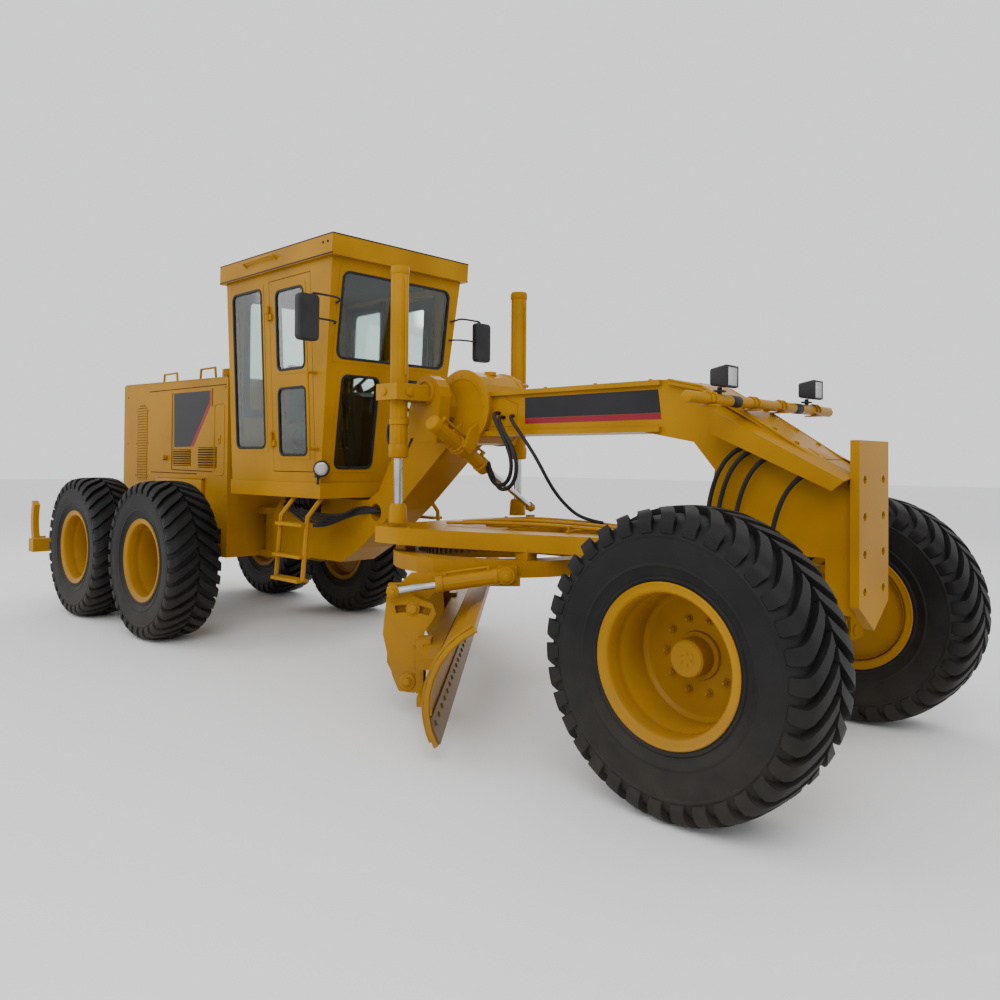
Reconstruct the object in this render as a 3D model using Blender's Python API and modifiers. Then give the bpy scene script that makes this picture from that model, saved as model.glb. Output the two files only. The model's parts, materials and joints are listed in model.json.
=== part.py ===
"""Motor grader: articulated frame, cab, blade gear, leaning and steering front wheels, tandem and ripper.

Metres, +Z up, +X forward, +Y to the machine's left. X is measured from the tandem pivot while the pieces are
made, and the last lines move the whole machine so that its origin lies on the ground under its middle.
"""

import math

import bmesh
import bpy
from mathutils import Matrix, Vector

# Driving dimensions: running gear.
WHEELBASE = 5.92
TANDEM_SPACING = 1.524
TYRE_RADIUS = 0.674
TYRE_WIDTH = 0.445
RIM_RADIUS = 0.320
RIM_FLANGE = 0.355
RIM_WIDTH = 0.36
RIM_WALL = 0.016
WHEEL_SIDES = 20
REAR_TRACK_HALF = 1.025
FRONT_TRACK_HALF = 0.998
DISC_OFFSET = -0.10
DISC_THICKNESS = 0.022
HUB_RADIUS = 0.115
TANDEM_CASE_WIDTH = 0.19
TANDEM_CASE_HEIGHT = 0.36
TANDEM_CASE_GAP = 0.030
REAR_AXLE_RADIUS = 0.17

# Driving dimensions: rear frame and hood.
RAIL_HALF = 0.45
RAIL_WIDTH = 0.14
RAIL_TOP = 1.10
RAIL_REAR = -1.56
HOOD_REAR = -1.47
HOOD_FRONT = 0.79
HOOD_HALF = 0.45
HOOD_TOP_REAR = 2.34
HOOD_TOP_FRONT = 2.29
HOOD_WALL = 0.02
GRILLE_THICKNESS = 0.035
HITCH_X = 0.95
HITCH_HALF = 0.13
HITCH_BOTTOM = 0.70
HITCH_TOP = 1.03
HITCH_PIN_RADIUS = 0.05
HITCH_PLATE = 0.06

# Driving dimensions: front frame.
BEAM_TOP = 2.01
BEAM_BOTTOM = 1.712
BEAM_HALF = 0.14
FLANGE_HALF = 0.167
FLANGE_THICKNESS = 0.03
LEG_HALF = 0.17
SADDLE_X = 3.42
SADDLE_Z = 1.91
SADDLE_RADIUS = 0.26
LIFT_ARM_Y = 0.60
LIFT_ARM_Z = 2.0
LIFT_SOCKET_Z = 1.10
PLATE_HALF = 0.19

# Driving dimensions: cab.
CAB_REAR = 1.12
CAB_FRONT_LOW = 2.46
CAB_FRONT_HIGH = 2.693
CAB_HALF_LOW = 0.575
CAB_HALF_HIGH = 0.65
CAB_BASE = 1.36
CAB_TOP = 3.05
CAB_WALL = 0.05
CAB_FLOOR_THICKNESS = 0.12
ROOF_THICKNESS = 0.16
ROOF_HALF = 0.688
DOOR_REAR = 1.80
DOOR_FRONT = 2.40
DOOR_BASE = 1.44
DOOR_TOP = 2.98
DOOR_GAP = 0.006

# Driving dimensions: drawbar, circle and blade.
BALL_SETBACK = 0.44
BALL_RADIUS = 0.055
DRAWBAR_BOTTOM = 0.98
DRAWBAR_TOP = 1.09
CIRCLE_X = 3.85
CIRCLE_RADIUS = 0.765
CIRCLE_BORE = 0.60
CIRCLE_BOTTOM = 0.83
CIRCLE_TOP = 0.93
BLADE_ANGLE = math.radians(42)
BLADE_LENGTH = 3.66
BLADE_SETBACK = -0.28
BLADE_SIDE_SHIFT = 0.20
BLADE_TIP_Z = 0.10
BLADE_HEIGHT = 0.61
BLADE_LEAN = math.radians(18)
BLADE_RADIUS = 0.42
BLADE_THICKNESS = 0.025
BRACKET_Y = 0.84
BRACKET_THICKNESS = 0.04
TIP_PIN_N = BLADE_SETBACK - 0.27
TIP_PIN_Z = 0.22
ARM_OUTER = BRACKET_Y - 0.04
RAIL_FRONT = BLADE_SETBACK - 0.115
RAIL_BACK = RAIL_FRONT - 0.04
UPPER_RAIL = (0.40, 0.46)
LOWER_RAIL = (0.20, 0.25)

# Driving dimensions: centre-shift cylinder, from its trunnion under the saddle to the drawbar's far side.
SHIFT_TRUNNION = (3.70, -0.28, 1.63)
SHIFT_EYE = (3.60, 0.55, 1.19)
SHIFT_BARREL_RADIUS = 0.05
SHIFT_ROD_RADIUS = 0.022
SHIFT_EYE_RADIUS = 0.034

# Driving dimensions: front axle ends.
LEAN_Y = 0.56
LEAN_Z = 0.60
LEAN_PIN = 0.03
LEAN_BAR_Z = 0.84
LEAN_BAR_PIN = 0.015
KINGPIN_Y = 0.745
KINGPIN = 0.025
KNUCKLE_HALF = 0.075

# Driving dimensions: ripper.
RIPPER_PIVOT_X = -1.68
RIPPER_PIVOT_Z = 0.78
RIPPER_BEAM_X = -2.0
RIPPER_BEAM_Z = 0.60
RIPPER_BEAM_SIDE = 0.14
RIPPER_HALF = 1.22

# Clearances.
SEAT_GAP = 0.0003
BEARING_GAP = 0.0006
RUNNING_GAP = 0.008
BALL_GAP = 0.0009

FRONT_X = WHEELBASE
BALL_X = FRONT_X - BALL_SETBACK
BALL_Z = 1.03
REAR_AXLE_Z = TYRE_RADIUS + 0.05
ACROSS = (-1, 1)
SIDE_NAMES = {-1: "right", 1: "left"}
SMOOTH_ANGLE = math.radians(35)
SIMPLE_SOLVER = "MANIFOLD"  # for the few unions that the exact solver leaves open

for leftover in list(bpy.data.objects):
    bpy.data.objects.remove(leftover)

MACHINE = bpy.data.collections.new("motor_grader")
bpy.context.scene.collection.children.link(MACHINE)

FINISHES = {
    "yellow_paint": ((0.46, 0.23, 0.025), 0.42, 0.0),
    "dark_paint": ((0.02, 0.02, 0.022), 0.5, 0.0),
    "tyre_rubber": ((0.016, 0.015, 0.014), 0.85, 0.0),
    "steel": ((0.20, 0.19, 0.18), 0.35, 1.0),
    "seat_cloth": ((0.03, 0.03, 0.032), 0.9, 0.0),
}


def finish(piece, name):
    """Gives the piece a Principled material of its own."""
    colour, roughness, metallic = FINISHES[name]
    material = bpy.data.materials.new(f"{piece.name}_{name}")
    material.use_nodes = True
    shader = material.node_tree.nodes["Principled BSDF"]
    shader.inputs["Base Color"].default_value = (*colour, 1)
    shader.inputs["Roughness"].default_value = roughness
    shader.inputs["Metallic"].default_value = metallic
    piece.data.materials.clear()
    piece.data.materials.append(material)
    piece.data.shade_smooth()
    piece.data.set_sharp_from_angle(angle=SMOOTH_ANGLE)
    return piece


def evaluated_mesh(source):
    """The object's mesh with its modifiers or its curve settings applied, closed and facing out."""
    bpy.context.view_layer.update()
    graph = bpy.context.evaluated_depsgraph_get()
    mesh = bpy.data.meshes.new_from_object(source.evaluated_get(graph))
    work = bmesh.new()
    work.from_mesh(mesh)
    bmesh.ops.remove_doubles(work, verts=work.verts, dist=1e-5)
    bmesh.ops.recalc_face_normals(work, faces=work.faces)
    work.to_mesh(mesh)
    work.free()
    return mesh


def replaced_by_mesh(source, matrix=Matrix()):
    """Swaps a curve or a modified object for a plain mesh object, turned and moved by the matrix."""
    name = source.name
    mesh = evaluated_mesh(source)
    mesh.transform(matrix)
    bpy.data.objects.remove(source)
    piece = bpy.data.objects.new(name, mesh)
    MACHINE.objects.link(piece)
    return piece


def mesh_object(name, work):
    mesh = bpy.data.meshes.new(name)
    work.to_mesh(mesh)
    work.free()
    piece = bpy.data.objects.new(name, mesh)
    MACHINE.objects.link(piece)
    return piece


def box(name, low, high):
    """A box between two corners."""
    work = bmesh.new()
    bmesh.ops.create_cube(work, size=1)
    low, high = Vector(low), Vector(high)
    bmesh.ops.scale(work, vec=high - low, verts=work.verts)
    bmesh.ops.translate(work, vec=(low + high) / 2, verts=work.verts)
    return mesh_object(name, work)


def frustum(name, base, top, base_z, top_z):
    """A box whose floor and ceiling are unlike rectangles, each (rear, front, half width)."""
    work = bmesh.new()
    bmesh.ops.create_cube(work, size=2)
    for corner in work.verts:
        rear, front, half = top if corner.co.z > 0 else base
        corner.co.x = front if corner.co.x > 0 else rear
        corner.co.y = math.copysign(half, corner.co.y)
        corner.co.z = top_z if corner.co.z > 0 else base_z
    return mesh_object(name, work)


PLATE_TURNS = {
    "X": Matrix(((0, 0, 1, 0), (1, 0, 0, 0), (0, 1, 0, 0), (0, 0, 0, 1))),
    "Y": Matrix.Rotation(math.pi / 2, 4, "X"),
    "Z": Matrix(),
}


def plate(name, axis, low, high, outline, holes=()):
    """An outline with holes, pushed out along one axis between two heights."""
    curve = bpy.data.curves.new(name, "CURVE")
    curve.dimensions = "2D"
    curve.fill_mode = "BOTH"
    curve.extrude = (high - low) / 2
    for ring in (outline, *holes):
        spline = curve.splines.new("POLY")
        spline.points.add(len(ring) - 1)
        for point, (across, up) in zip(spline.points, ring):
            point.co = (across, up, 0, 1)
        spline.use_cyclic_u = True
    source = bpy.data.objects.new(name, curve)
    MACHINE.objects.link(source)
    offset = Vector([(low + high) / 2 if letter == axis else 0 for letter in "XYZ"])
    return replaced_by_mesh(source, Matrix.Translation(offset) @ PLATE_TURNS[axis])


def arc(centre, radius, start, end, steps):
    """Points of an arc, its angles in degrees."""
    turns = [math.radians(start + (end - start) * i / steps) for i in range(steps + 1)]
    return [(centre[0] + radius * math.cos(t), centre[1] + radius * math.sin(t)) for t in turns]


def pipe(name, points, radius, sides=8):
    """A round bar through the points."""
    curve = bpy.data.curves.new(name, "CURVE")
    curve.dimensions = "3D"
    curve.bevel_depth = radius
    curve.bevel_resolution = (sides - 4) // 2
    curve.use_fill_caps = True
    spline = curve.splines.new("POLY")
    spline.points.add(len(points) - 1)
    for point, place in zip(spline.points, points):
        point.co = (*place, 1)
    source = bpy.data.objects.new(name, curve)
    MACHINE.objects.link(source)
    return replaced_by_mesh(source)


def turned(name, profile, sides=16, matrix=Matrix()):
    """A profile of (radius, height) points turned about Z, then placed by the matrix."""
    mesh = bpy.data.meshes.new(name)
    edges = [(i, i + 1) for i in range(len(profile) - 1)]
    mesh.from_pydata([(radius, 0, height) for radius, height in profile], edges, [])
    source = bpy.data.objects.new(name, mesh)
    MACHINE.objects.link(source)
    screw = source.modifiers.new("Screw", "SCREW")
    screw.steps = screw.render_steps = sides
    screw.use_merge_vertices = True
    screw.merge_threshold = 1e-5
    return replaced_by_mesh(source, matrix)


def pointing(place, direction):
    """The matrix that carries Z at the origin to a direction at a place."""
    turn = Vector(direction).to_track_quat("Z", "Y").to_matrix().to_4x4()
    return Matrix.Translation(place) @ turn


def boss(name, place, direction, radius, length, sides=16):
    """A round bar centred on a place."""
    half = length / 2
    return turned(name, [(0, half), (radius, half), (radius, -half), (0, -half)], sides,
                  pointing(place, direction))


def ball(name, place, radius):
    """A sphere, turned from half a circle."""
    return turned(name, [(radius * math.sin(t), radius * math.cos(t))
                         for t in (math.pi * i / 24 for i in range(25))], 36, Matrix.Translation(place))


def combine(piece, others, operation, solver="EXACT"):
    """Joins the others to the piece, or cuts them from it, and removes them."""
    for other in others:
        step = piece.modifiers.new(operation, "BOOLEAN")
        step.operation = operation
        step.object = other
        step.solver = solver
        result = evaluated_mesh(piece)
        piece.modifiers.clear()
        piece.data = result
        bpy.data.objects.remove(other)
    return piece


def join(piece, *others, solver="EXACT"):
    return combine(piece, others, "UNION", solver)


def cut(piece, *others, solver="EXACT"):
    return combine(piece, others, "DIFFERENCE", solver)


def pivot(name, place, parent=None, turn=0.0):
    """An empty on a joint's axis."""
    empty = bpy.data.objects.new(f"{name}_pivot", None)
    MACHINE.objects.link(empty)
    empty.matrix_world = Matrix.Translation(place) @ Matrix.Rotation(turn, 4, "Z")
    bpy.context.view_layer.update()
    return hang(empty, parent) if parent else empty


def hang(piece, parent):
    """Parents a piece that was made in the machine's own coordinates, without moving it."""
    bpy.context.view_layer.update()
    world = piece.matrix_world.copy()
    piece.parent = parent
    piece.matrix_parent_inverse = parent.matrix_world.inverted()
    piece.matrix_world = world
    return piece


def seat(piece, parent):
    """Parents a piece whose mesh is in the parent's coordinates."""
    piece.parent = parent
    return piece


def wheel_profiles(disc, hub_reach):
    """Closed tyre ring, and rim with its disc and hub, as (radius, outboard) points."""
    half, bead = TYRE_WIDTH / 2, RIM_WIDTH / 2
    side = [
        (RIM_RADIUS + SEAT_GAP, bead - 0.004),
        (RIM_FLANGE + 0.01, bead),
        (0.46, 0.97 * half),
        (0.55, half),
        (TYRE_RADIUS - 0.05, 0.95 * half),
        (TYRE_RADIUS - 0.012, 0.80 * half),
        (TYRE_RADIUS, 0.45 * half),
    ]
    tyre = side + [(radius, -out) for radius, out in reversed(side)]
    tyre.append(tyre[0])
    inner = RIM_RADIUS - RIM_WALL
    rim = [
        (0, disc + hub_reach),
        (HUB_RADIUS, disc + hub_reach),
        (HUB_RADIUS + 0.02, disc),
        (inner - 0.02, disc),
        (inner, bead - 0.01),
        (inner, bead + 0.014),
        (RIM_FLANGE, bead + 0.014),
        (RIM_FLANGE, bead + 0.001),
        (RIM_RADIUS, bead - 0.004),
        (RIM_RADIUS, 0.004 - bead),
        (RIM_FLANGE, -bead - 0.001),
        (RIM_FLANGE, -bead - 0.014),
        (inner, -bead - 0.014),
        (inner, disc - DISC_THICKNESS),
        (0, disc - DISC_THICKNESS),
    ]
    return tyre, rim


def wheel(name, place, side, parent, disc, hub_reach):
    """Tyre and rim on an axle pivot; side is +1 on the left."""
    axle = pivot(name, place, parent)
    tyre, rim = wheel_profiles(disc, hub_reach)
    matrix = pointing(place, (0, side, 0))
    hang(finish(turned(f"tyre_{name}", tyre, WHEEL_SIDES, matrix), "tyre_rubber"), axle)
    hang(finish(turned(f"rim_{name}", rim, WHEEL_SIDES, matrix), "yellow_paint"), axle)


def bored_eye(barrel, pin, radius, pin_radius, width):
    """Gives a barrel the eye that turns on its pin, which lies across the machine."""
    join(barrel, boss("eye", pin, (0, 1, 0), radius, width, 16), solver=SIMPLE_SOLVER)
    return cut(barrel, boss("eye_bore", pin, (0, 1, 0), pin_radius + BEARING_GAP, 2 * width, 24),
               solver=SIMPLE_SOLVER)


def cylinder(name, pin, eye, barrel_radius, rod_radius, barrel_length, insert, head):
    """Barrel and rod of a hydraulic cylinder. The rod reaches into the barrel's bore by the insert."""
    pin, eye = Vector(pin), Vector(eye)
    span = (eye - pin).length
    matrix = pointing(pin, eye - pin)
    bore = rod_radius + BEARING_GAP
    bore_end = 1.8 * barrel_radius
    barrel = turned(f"{name}_barrel", [
        (0, bore_end),
        (bore, bore_end),
        (bore, barrel_length),
        (barrel_radius, barrel_length),
        (barrel_radius, 0.02),
        (0, 0.02),
    ], 12, matrix)
    rod = turned(f"{name}_rod", [
        (0, barrel_length - insert),
        (rod_radius, barrel_length - insert),
        (rod_radius, span - head),
        (1.5 * rod_radius, span - head),
        (1.5 * rod_radius, span + head),
        (0, span + head),
    ], 12, matrix)
    return finish(barrel, "yellow_paint"), finish(rod, "steel")


# ---------------------------------------------------------------- rear frame
rear_frame = pivot("rear_frame", (0, 0, 0))
rail_bottom = REAR_AXLE_Z + REAR_AXLE_RADIUS + SEAT_GAP
plate_top = HITCH_TOP + HITCH_PLATE
fork_reach = HITCH_X + HITCH_HALF

chassis = box("rear_chassis", (HITCH_X - 0.26, -RAIL_HALF, HITCH_BOTTOM - HITCH_PLATE),
              (HITCH_X - HITCH_HALF - 0.03, RAIL_HALF, RAIL_TOP))
for side in ACROSS:
    inner, outer = sorted((side * (RAIL_HALF - RAIL_WIDTH), side * RAIL_HALF))
    join(chassis, box("rail", (RAIL_REAR, inner, rail_bottom), (HITCH_X - 0.2, outer, RAIL_TOP)))
for low, high in ((HITCH_BOTTOM - HITCH_PLATE, HITCH_BOTTOM - BEARING_GAP),
                  (HITCH_TOP + BEARING_GAP, plate_top)):
    tongue = [(HITCH_X - 0.22, HITCH_HALF), (HITCH_X - 0.22, -HITCH_HALF)]
    tongue += arc((HITCH_X, 0), HITCH_HALF, -90, 90, 8)
    join(chassis, plate("fork", "Z", low, high, tongue))
join(chassis, boss("hitch_pin", (HITCH_X, 0, (HITCH_BOTTOM + HITCH_TOP) / 2), (0, 0, 1),
                   HITCH_PIN_RADIUS, plate_top - HITCH_BOTTOM + HITCH_PLATE + 0.04, 24))
join(chassis,
     box("rear_beam", (RAIL_REAR - 0.04, -RAIL_HALF, 0.52), (RAIL_REAR + 0.04, RAIL_HALF, RAIL_TOP)),
     box("axle_saddle", (-0.14, -RAIL_HALF, rail_bottom), (0.14, RAIL_HALF, RAIL_TOP - 0.03)))
for side in ACROSS:
    for y in (0.22, 0.34):
        low, high = sorted((side * y, side * (y + 0.03)))
        join(chassis, plate("ripper_ear", "Y", low, high, [
            (RAIL_REAR, RIPPER_PIVOT_Z - 0.09),
            (RAIL_REAR, 1.05),
            (RIPPER_PIVOT_X - 0.02, 1.05),
            (RIPPER_PIVOT_X - 0.05, RIPPER_PIVOT_Z),
            (RIPPER_PIVOT_X, RIPPER_PIVOT_Z - 0.06),
        ]))
ripper_barrel_pin = (RIPPER_PIVOT_X - 0.01, 0, 1.0)
ripper_rod_pin = (RIPPER_BEAM_X + 0.08, 0, RIPPER_BEAM_Z + 0.12)
for side in ACROSS:
    low, high = sorted((side * 0.056, side * 0.086))
    join(chassis, plate("barrel_ear", "Y", low, high, [
        (RAIL_REAR, 0.94), (RAIL_REAR, 1.06), (ripper_barrel_pin[0], 1.045),
        (ripper_barrel_pin[0] - 0.04, 1.0), (ripper_barrel_pin[0], 0.955)]))
join(chassis, boss("barrel_pin", ripper_barrel_pin, (0, 1, 0), 0.022, 0.19, 24))
hang(finish(chassis, "yellow_paint"), rear_frame)

hood = plate("hood", "Y", -HOOD_HALF, HOOD_HALF, [
    (HOOD_REAR, RAIL_TOP + SEAT_GAP), (HOOD_FRONT, RAIL_TOP + SEAT_GAP),
    (HOOD_FRONT, HOOD_TOP_FRONT), (HOOD_REAR, HOOD_TOP_REAR),
])
cut(hood, plate("hood_inside", "Y", HOOD_WALL - HOOD_HALF, HOOD_HALF - HOOD_WALL, [
    (HOOD_REAR - 0.1, RAIL_TOP - 0.1), (HOOD_FRONT - HOOD_WALL, RAIL_TOP - 0.1),
    (HOOD_FRONT - HOOD_WALL, HOOD_TOP_FRONT - HOOD_WALL), (HOOD_REAR - 0.1, HOOD_TOP_REAR - HOOD_WALL),
]))
join(hood, turned("intake", [(0, 0.14), (0.10, 0.12), (0.10, 0.05), (0.045, 0.04), (0.045, -0.03),
                             (0, -0.03)],
                  12, Matrix.Translation((HOOD_FRONT - 0.45, -0.16, HOOD_TOP_FRONT))))
for side in ACROSS:
    y = side * (HOOD_HALF - 0.08)
    for x in (-0.55, 0.25):
        join(hood, pipe("hood_rail", [
            (x - 0.16, y, HOOD_TOP_FRONT - 0.005), (x - 0.14, y, HOOD_TOP_REAR + 0.07),
            (x + 0.14, y, HOOD_TOP_REAR + 0.07), (x + 0.16, y, HOOD_TOP_FRONT - 0.005)], 0.013, 6))
hang(finish(hood, "yellow_paint"), rear_frame)

engine = box("engine_block", (-0.95, -0.34, RAIL_TOP + SEAT_GAP), (0.45, 0.34, 1.98))
hang(finish(engine, "dark_paint"), rear_frame)

grille_hinge = (HOOD_REAR - GRILLE_THICKNESS - SEAT_GAP, HOOD_HALF, 0)
grille_door = pivot("rear_grille", grille_hinge, rear_frame)
grille = box("rear_grille", (grille_hinge[0], -HOOD_HALF, RAIL_TOP + RUNNING_GAP),
             (HOOD_REAR - SEAT_GAP, HOOD_HALF - 0.002, HOOD_TOP_REAR - 0.01))
bars = []
for row in range(9):
    z = 1.26 + 0.112 * row
    bars.append(box("slot", (HOOD_REAR - 0.2, -HOOD_HALF + 0.1, z),
                    (HOOD_REAR + 0.1, HOOD_HALF - 0.1, z + 0.06)))
cut(grille, *bars)
hang(finish(grille, "yellow_paint"), grille_door)

case_outer = REAR_TRACK_HALF - TYRE_WIDTH / 2 - TANDEM_CASE_GAP
case_inner = case_outer - TANDEM_CASE_WIDTH
rear_disc_inner = REAR_TRACK_HALF + DISC_OFFSET - DISC_THICKNESS
axle = turned("rear_axle", [
    (0, case_inner - SEAT_GAP), (REAR_AXLE_RADIUS * 0.9, case_inner - SEAT_GAP),
    (REAR_AXLE_RADIUS * 0.9, 0.34), (REAR_AXLE_RADIUS, 0.26), (REAR_AXLE_RADIUS, -0.26),
    (REAR_AXLE_RADIUS * 0.9, -0.34), (REAR_AXLE_RADIUS * 0.9, SEAT_GAP - case_inner),
    (0, SEAT_GAP - case_inner),
], 16, pointing((0, 0, REAR_AXLE_Z), (0, 1, 0)))
hang(finish(axle, "yellow_paint"), rear_frame)

half_base = TANDEM_SPACING / 2
half_case = TANDEM_CASE_HEIGHT / 2
for side in ACROSS:
    low, high = sorted((side * case_inner, side * case_outer))
    outline = arc((half_base, TYRE_RADIUS), half_case * 0.85, -90, 90, 6)
    outline += [(0.25, TYRE_RADIUS + half_case + 0.03), (-0.25, TYRE_RADIUS + half_case + 0.03)]
    outline += arc((-half_base, TYRE_RADIUS), half_case * 0.85, 90, 270, 6)
    case = plate(f"tandem_case_{SIDE_NAMES[side]}", "Y", low, high, outline)
    for x in (-half_base, half_base):
        reach = rear_disc_inner - BEARING_GAP - case_outer
        middle = side * (case_outer + reach / 2 - 0.01)
        join(case, boss("stub", (x, middle, TYRE_RADIUS), (0, 1, 0), 0.12, reach + 0.02, 12))
    hang(finish(case, "yellow_paint"), rear_frame)
    for x, where in ((half_base, "front"), (-half_base, "rear")):
        wheel(f"tandem_{SIDE_NAMES[side]}_{where}", (x, side * REAR_TRACK_HALF, TYRE_RADIUS), side,
              rear_frame, DISC_OFFSET, 0.05)

# ---------------------------------------------------------------- ripper
ripper_pivot = pivot("ripper", (RIPPER_PIVOT_X, 0, RIPPER_PIVOT_Z), rear_frame)
beam_half = RIPPER_BEAM_SIDE / 2
ripper = box("ripper", (RIPPER_BEAM_X - beam_half, -RIPPER_HALF, RIPPER_BEAM_Z - beam_half),
             (RIPPER_BEAM_X + beam_half, RIPPER_HALF, RIPPER_BEAM_Z + beam_half))
for side in ACROSS:
    low, high = sorted((side * 0.2506, side * 0.3394))
    join(ripper, plate("ripper_arm", "Y", low, high, [
        (RIPPER_BEAM_X, RIPPER_BEAM_Z - 0.05), (RIPPER_PIVOT_X, RIPPER_PIVOT_Z - 0.045),
        (RIPPER_PIVOT_X + 0.045, RIPPER_PIVOT_Z), (RIPPER_PIVOT_X, RIPPER_PIVOT_Z + 0.045),
        (RIPPER_BEAM_X, RIPPER_BEAM_Z + 0.06),
    ]))
for y in (-1.14, 0, 1.14):
    outer = arc((-1.62, 0.86), 0.56, 158, 214, 7)
    inner = arc((-1.62, 0.86), 0.48, 214, 160, 6)
    join(ripper, plate("shank", "Y", y - 0.03, y + 0.03, outer + inner))
for side in ACROSS:
    low, high = sorted((side * 0.06, side * 0.09))
    join(ripper, plate("cylinder_ear", "Y", low, high, [
        (RIPPER_BEAM_X + 0.02, RIPPER_BEAM_Z), (RIPPER_BEAM_X + 0.12, RIPPER_BEAM_Z + 0.06),
        (RIPPER_BEAM_X + 0.12, RIPPER_BEAM_Z + 0.16), (RIPPER_BEAM_X + 0.04, RIPPER_BEAM_Z + 0.16),
        (RIPPER_BEAM_X - 0.05, RIPPER_BEAM_Z + 0.05),
    ]))
hang(finish(ripper, "yellow_paint"), ripper_pivot)

# ---------------------------------------------------------------- front frame
front_frame = pivot("front_frame", (HITCH_X, 0, 0), rear_frame)
nose = FRONT_X + 0.39
frame = plate("main_frame", "Y", -BEAM_HALF, BEAM_HALF, [
    (3.30, 1.52), (3.50, 1.66), (3.72, BEAM_BOTTOM), (FRONT_X - 0.82, BEAM_BOTTOM),
    (FRONT_X - 0.49, 1.651), (FRONT_X - 0.36, 1.50), (FRONT_X - 0.40, 1.20), (FRONT_X - 0.40, 0.80),
    (FRONT_X - 0.20, 0.80), (FRONT_X - 0.20, 1.07), (FRONT_X + 0.25, 1.07), (FRONT_X + 0.25, 0.80),
    (nose, 0.80), (nose, 1.455), (FRONT_X - 0.13, 1.785), (FRONT_X - 0.43, 1.962),
    (FRONT_X - 0.64, BEAM_TOP),
    (3.30, BEAM_TOP), (3.05, 1.93),
])
leg = plate("leg", "Y", -LEG_HALF, LEG_HALF, [
    (1.12, HITCH_BOTTOM), (2.16, HITCH_BOTTOM), (2.41, 0.83), (2.87, 1.16), (3.42, 1.62), (3.60, 1.86),
    (3.30, BEAM_TOP - 0.02), (3.02, 1.90), (2.66, 1.30), (2.52, CAB_BASE - CAB_FLOOR_THICKNESS - 0.02),
    (1.28, CAB_BASE - CAB_FLOOR_THICKNESS - 0.02), (1.12, HITCH_TOP),
])
tongue = [(1.30, HITCH_HALF), *arc((HITCH_X, 0), HITCH_HALF - 0.005, 90, 270, 8), (1.30, -HITCH_HALF)]
bore = arc((HITCH_X, 0), HITCH_PIN_RADIUS + BEARING_GAP, 0, 345, 23)
join(frame, leg, plate("tongue", "Z", HITCH_BOTTOM, HITCH_TOP, tongue, [bore]))
for z in (BEAM_TOP - FLANGE_THICKNESS, BEAM_BOTTOM):
    join(frame, box("flange", (3.72, -FLANGE_HALF, z), (FRONT_X - 0.70, FLANGE_HALF, z + FLANGE_THICKNESS)))
slope = [(FRONT_X - 0.64, BEAM_TOP), (FRONT_X - 0.43, 1.962), (FRONT_X - 0.13, 1.785), (nose - 0.02, 1.467)]
under = [(x, z - FLANGE_THICKNESS) for x, z in reversed(slope)]
join(frame, plate("nose_flange", "Y", -FLANGE_HALF, FLANGE_HALF, slope + under))
join(frame, boss("saddle_housing", (SADDLE_X + 0.20, 0, SADDLE_Z), (0, 1, 0), SADDLE_RADIUS, 0.40, 20))
join(frame, boss("saddle_beam", (SADDLE_X, 0, LIFT_ARM_Z - 0.08), (0, 1, 0), 0.15, 0.72, 12))
barrel_radius = 0.062
for side in ACROSS:
    arm = plate("lift_arm", "Y", *sorted((side * 0.30, side * 0.40)), [
        (SADDLE_X - 0.13, LIFT_ARM_Z - 0.30), (SADDLE_X + 0.16, LIFT_ARM_Z - 0.34),
        *arc((SADDLE_X + 0.05, LIFT_ARM_Z - 0.02), 0.15, 0, 130, 5), (SADDLE_X - 0.14, LIFT_ARM_Z - 0.12)])
    yoke_low, yoke_high = sorted((side * 0.36, side * (LIFT_ARM_Y + 0.11)))
    yoke = box("yoke", (SADDLE_X - 0.11, yoke_low, LIFT_ARM_Z - 0.055),
               (SADDLE_X + 0.11, yoke_high, LIFT_ARM_Z + 0.055))
    join(frame, arm, yoke)
    cut(frame, boss("yoke_bore", (SADDLE_X, side * LIFT_ARM_Y, LIFT_ARM_Z), (0, 0, 1),
                    barrel_radius + SEAT_GAP, 0.4, 12))
join(frame, boss("ball_socket", (BALL_X + 0.055, 0, BALL_Z), (1, 0, 0), 0.085, 0.11, 12),
     boss("axle_pin", (FRONT_X, 0, 0.93), (1, 0, 0), 0.05, 0.62, 12))
cut(frame, ball("socket", (BALL_X, 0, BALL_Z), BALL_RADIUS + BALL_GAP))
cut(frame, boss("hose_hole_right", (2.62, 0, 1.13), (0, 1, 0), 0.07, 1.0, 12))
trunnion_x, trunnion_y, trunnion_z = SHIFT_TRUNNION
ear = [(trunnion_y + 0.10, trunnion_z + 0.09), (trunnion_y + 0.10, trunnion_z + 0.18),
       (trunnion_y, trunnion_z + 0.12),
       (trunnion_y - 0.05, trunnion_z), (trunnion_y, trunnion_z - 0.045), (trunnion_y + 0.05, trunnion_z)]
for x in (trunnion_x - 0.095, trunnion_x + 0.07):
    join(frame, plate("shift_ear", "X", x, x + 0.025, ear))
cut(frame, boss("trunnion_bore", SHIFT_TRUNNION, (1, 0, 0), 0.02 + BEARING_GAP, 0.4, 24))
hang(finish(frame, "yellow_paint"), front_frame)

bolster = plate("front_plate", "X", nose + SEAT_GAP, nose + 0.045, [
    (-PLATE_HALF, 0.85), (0, 0.72), (PLATE_HALF, 0.85), (PLATE_HALF, 1.65), (-PLATE_HALF, 1.65)],
    [arc((side * 0.12, z), 0.022, 0, 300, 5) for side in ACROSS for z in (0.92, 1.10, 1.28, 1.46)])
hang(finish(bolster, "yellow_paint"), front_frame)

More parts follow.
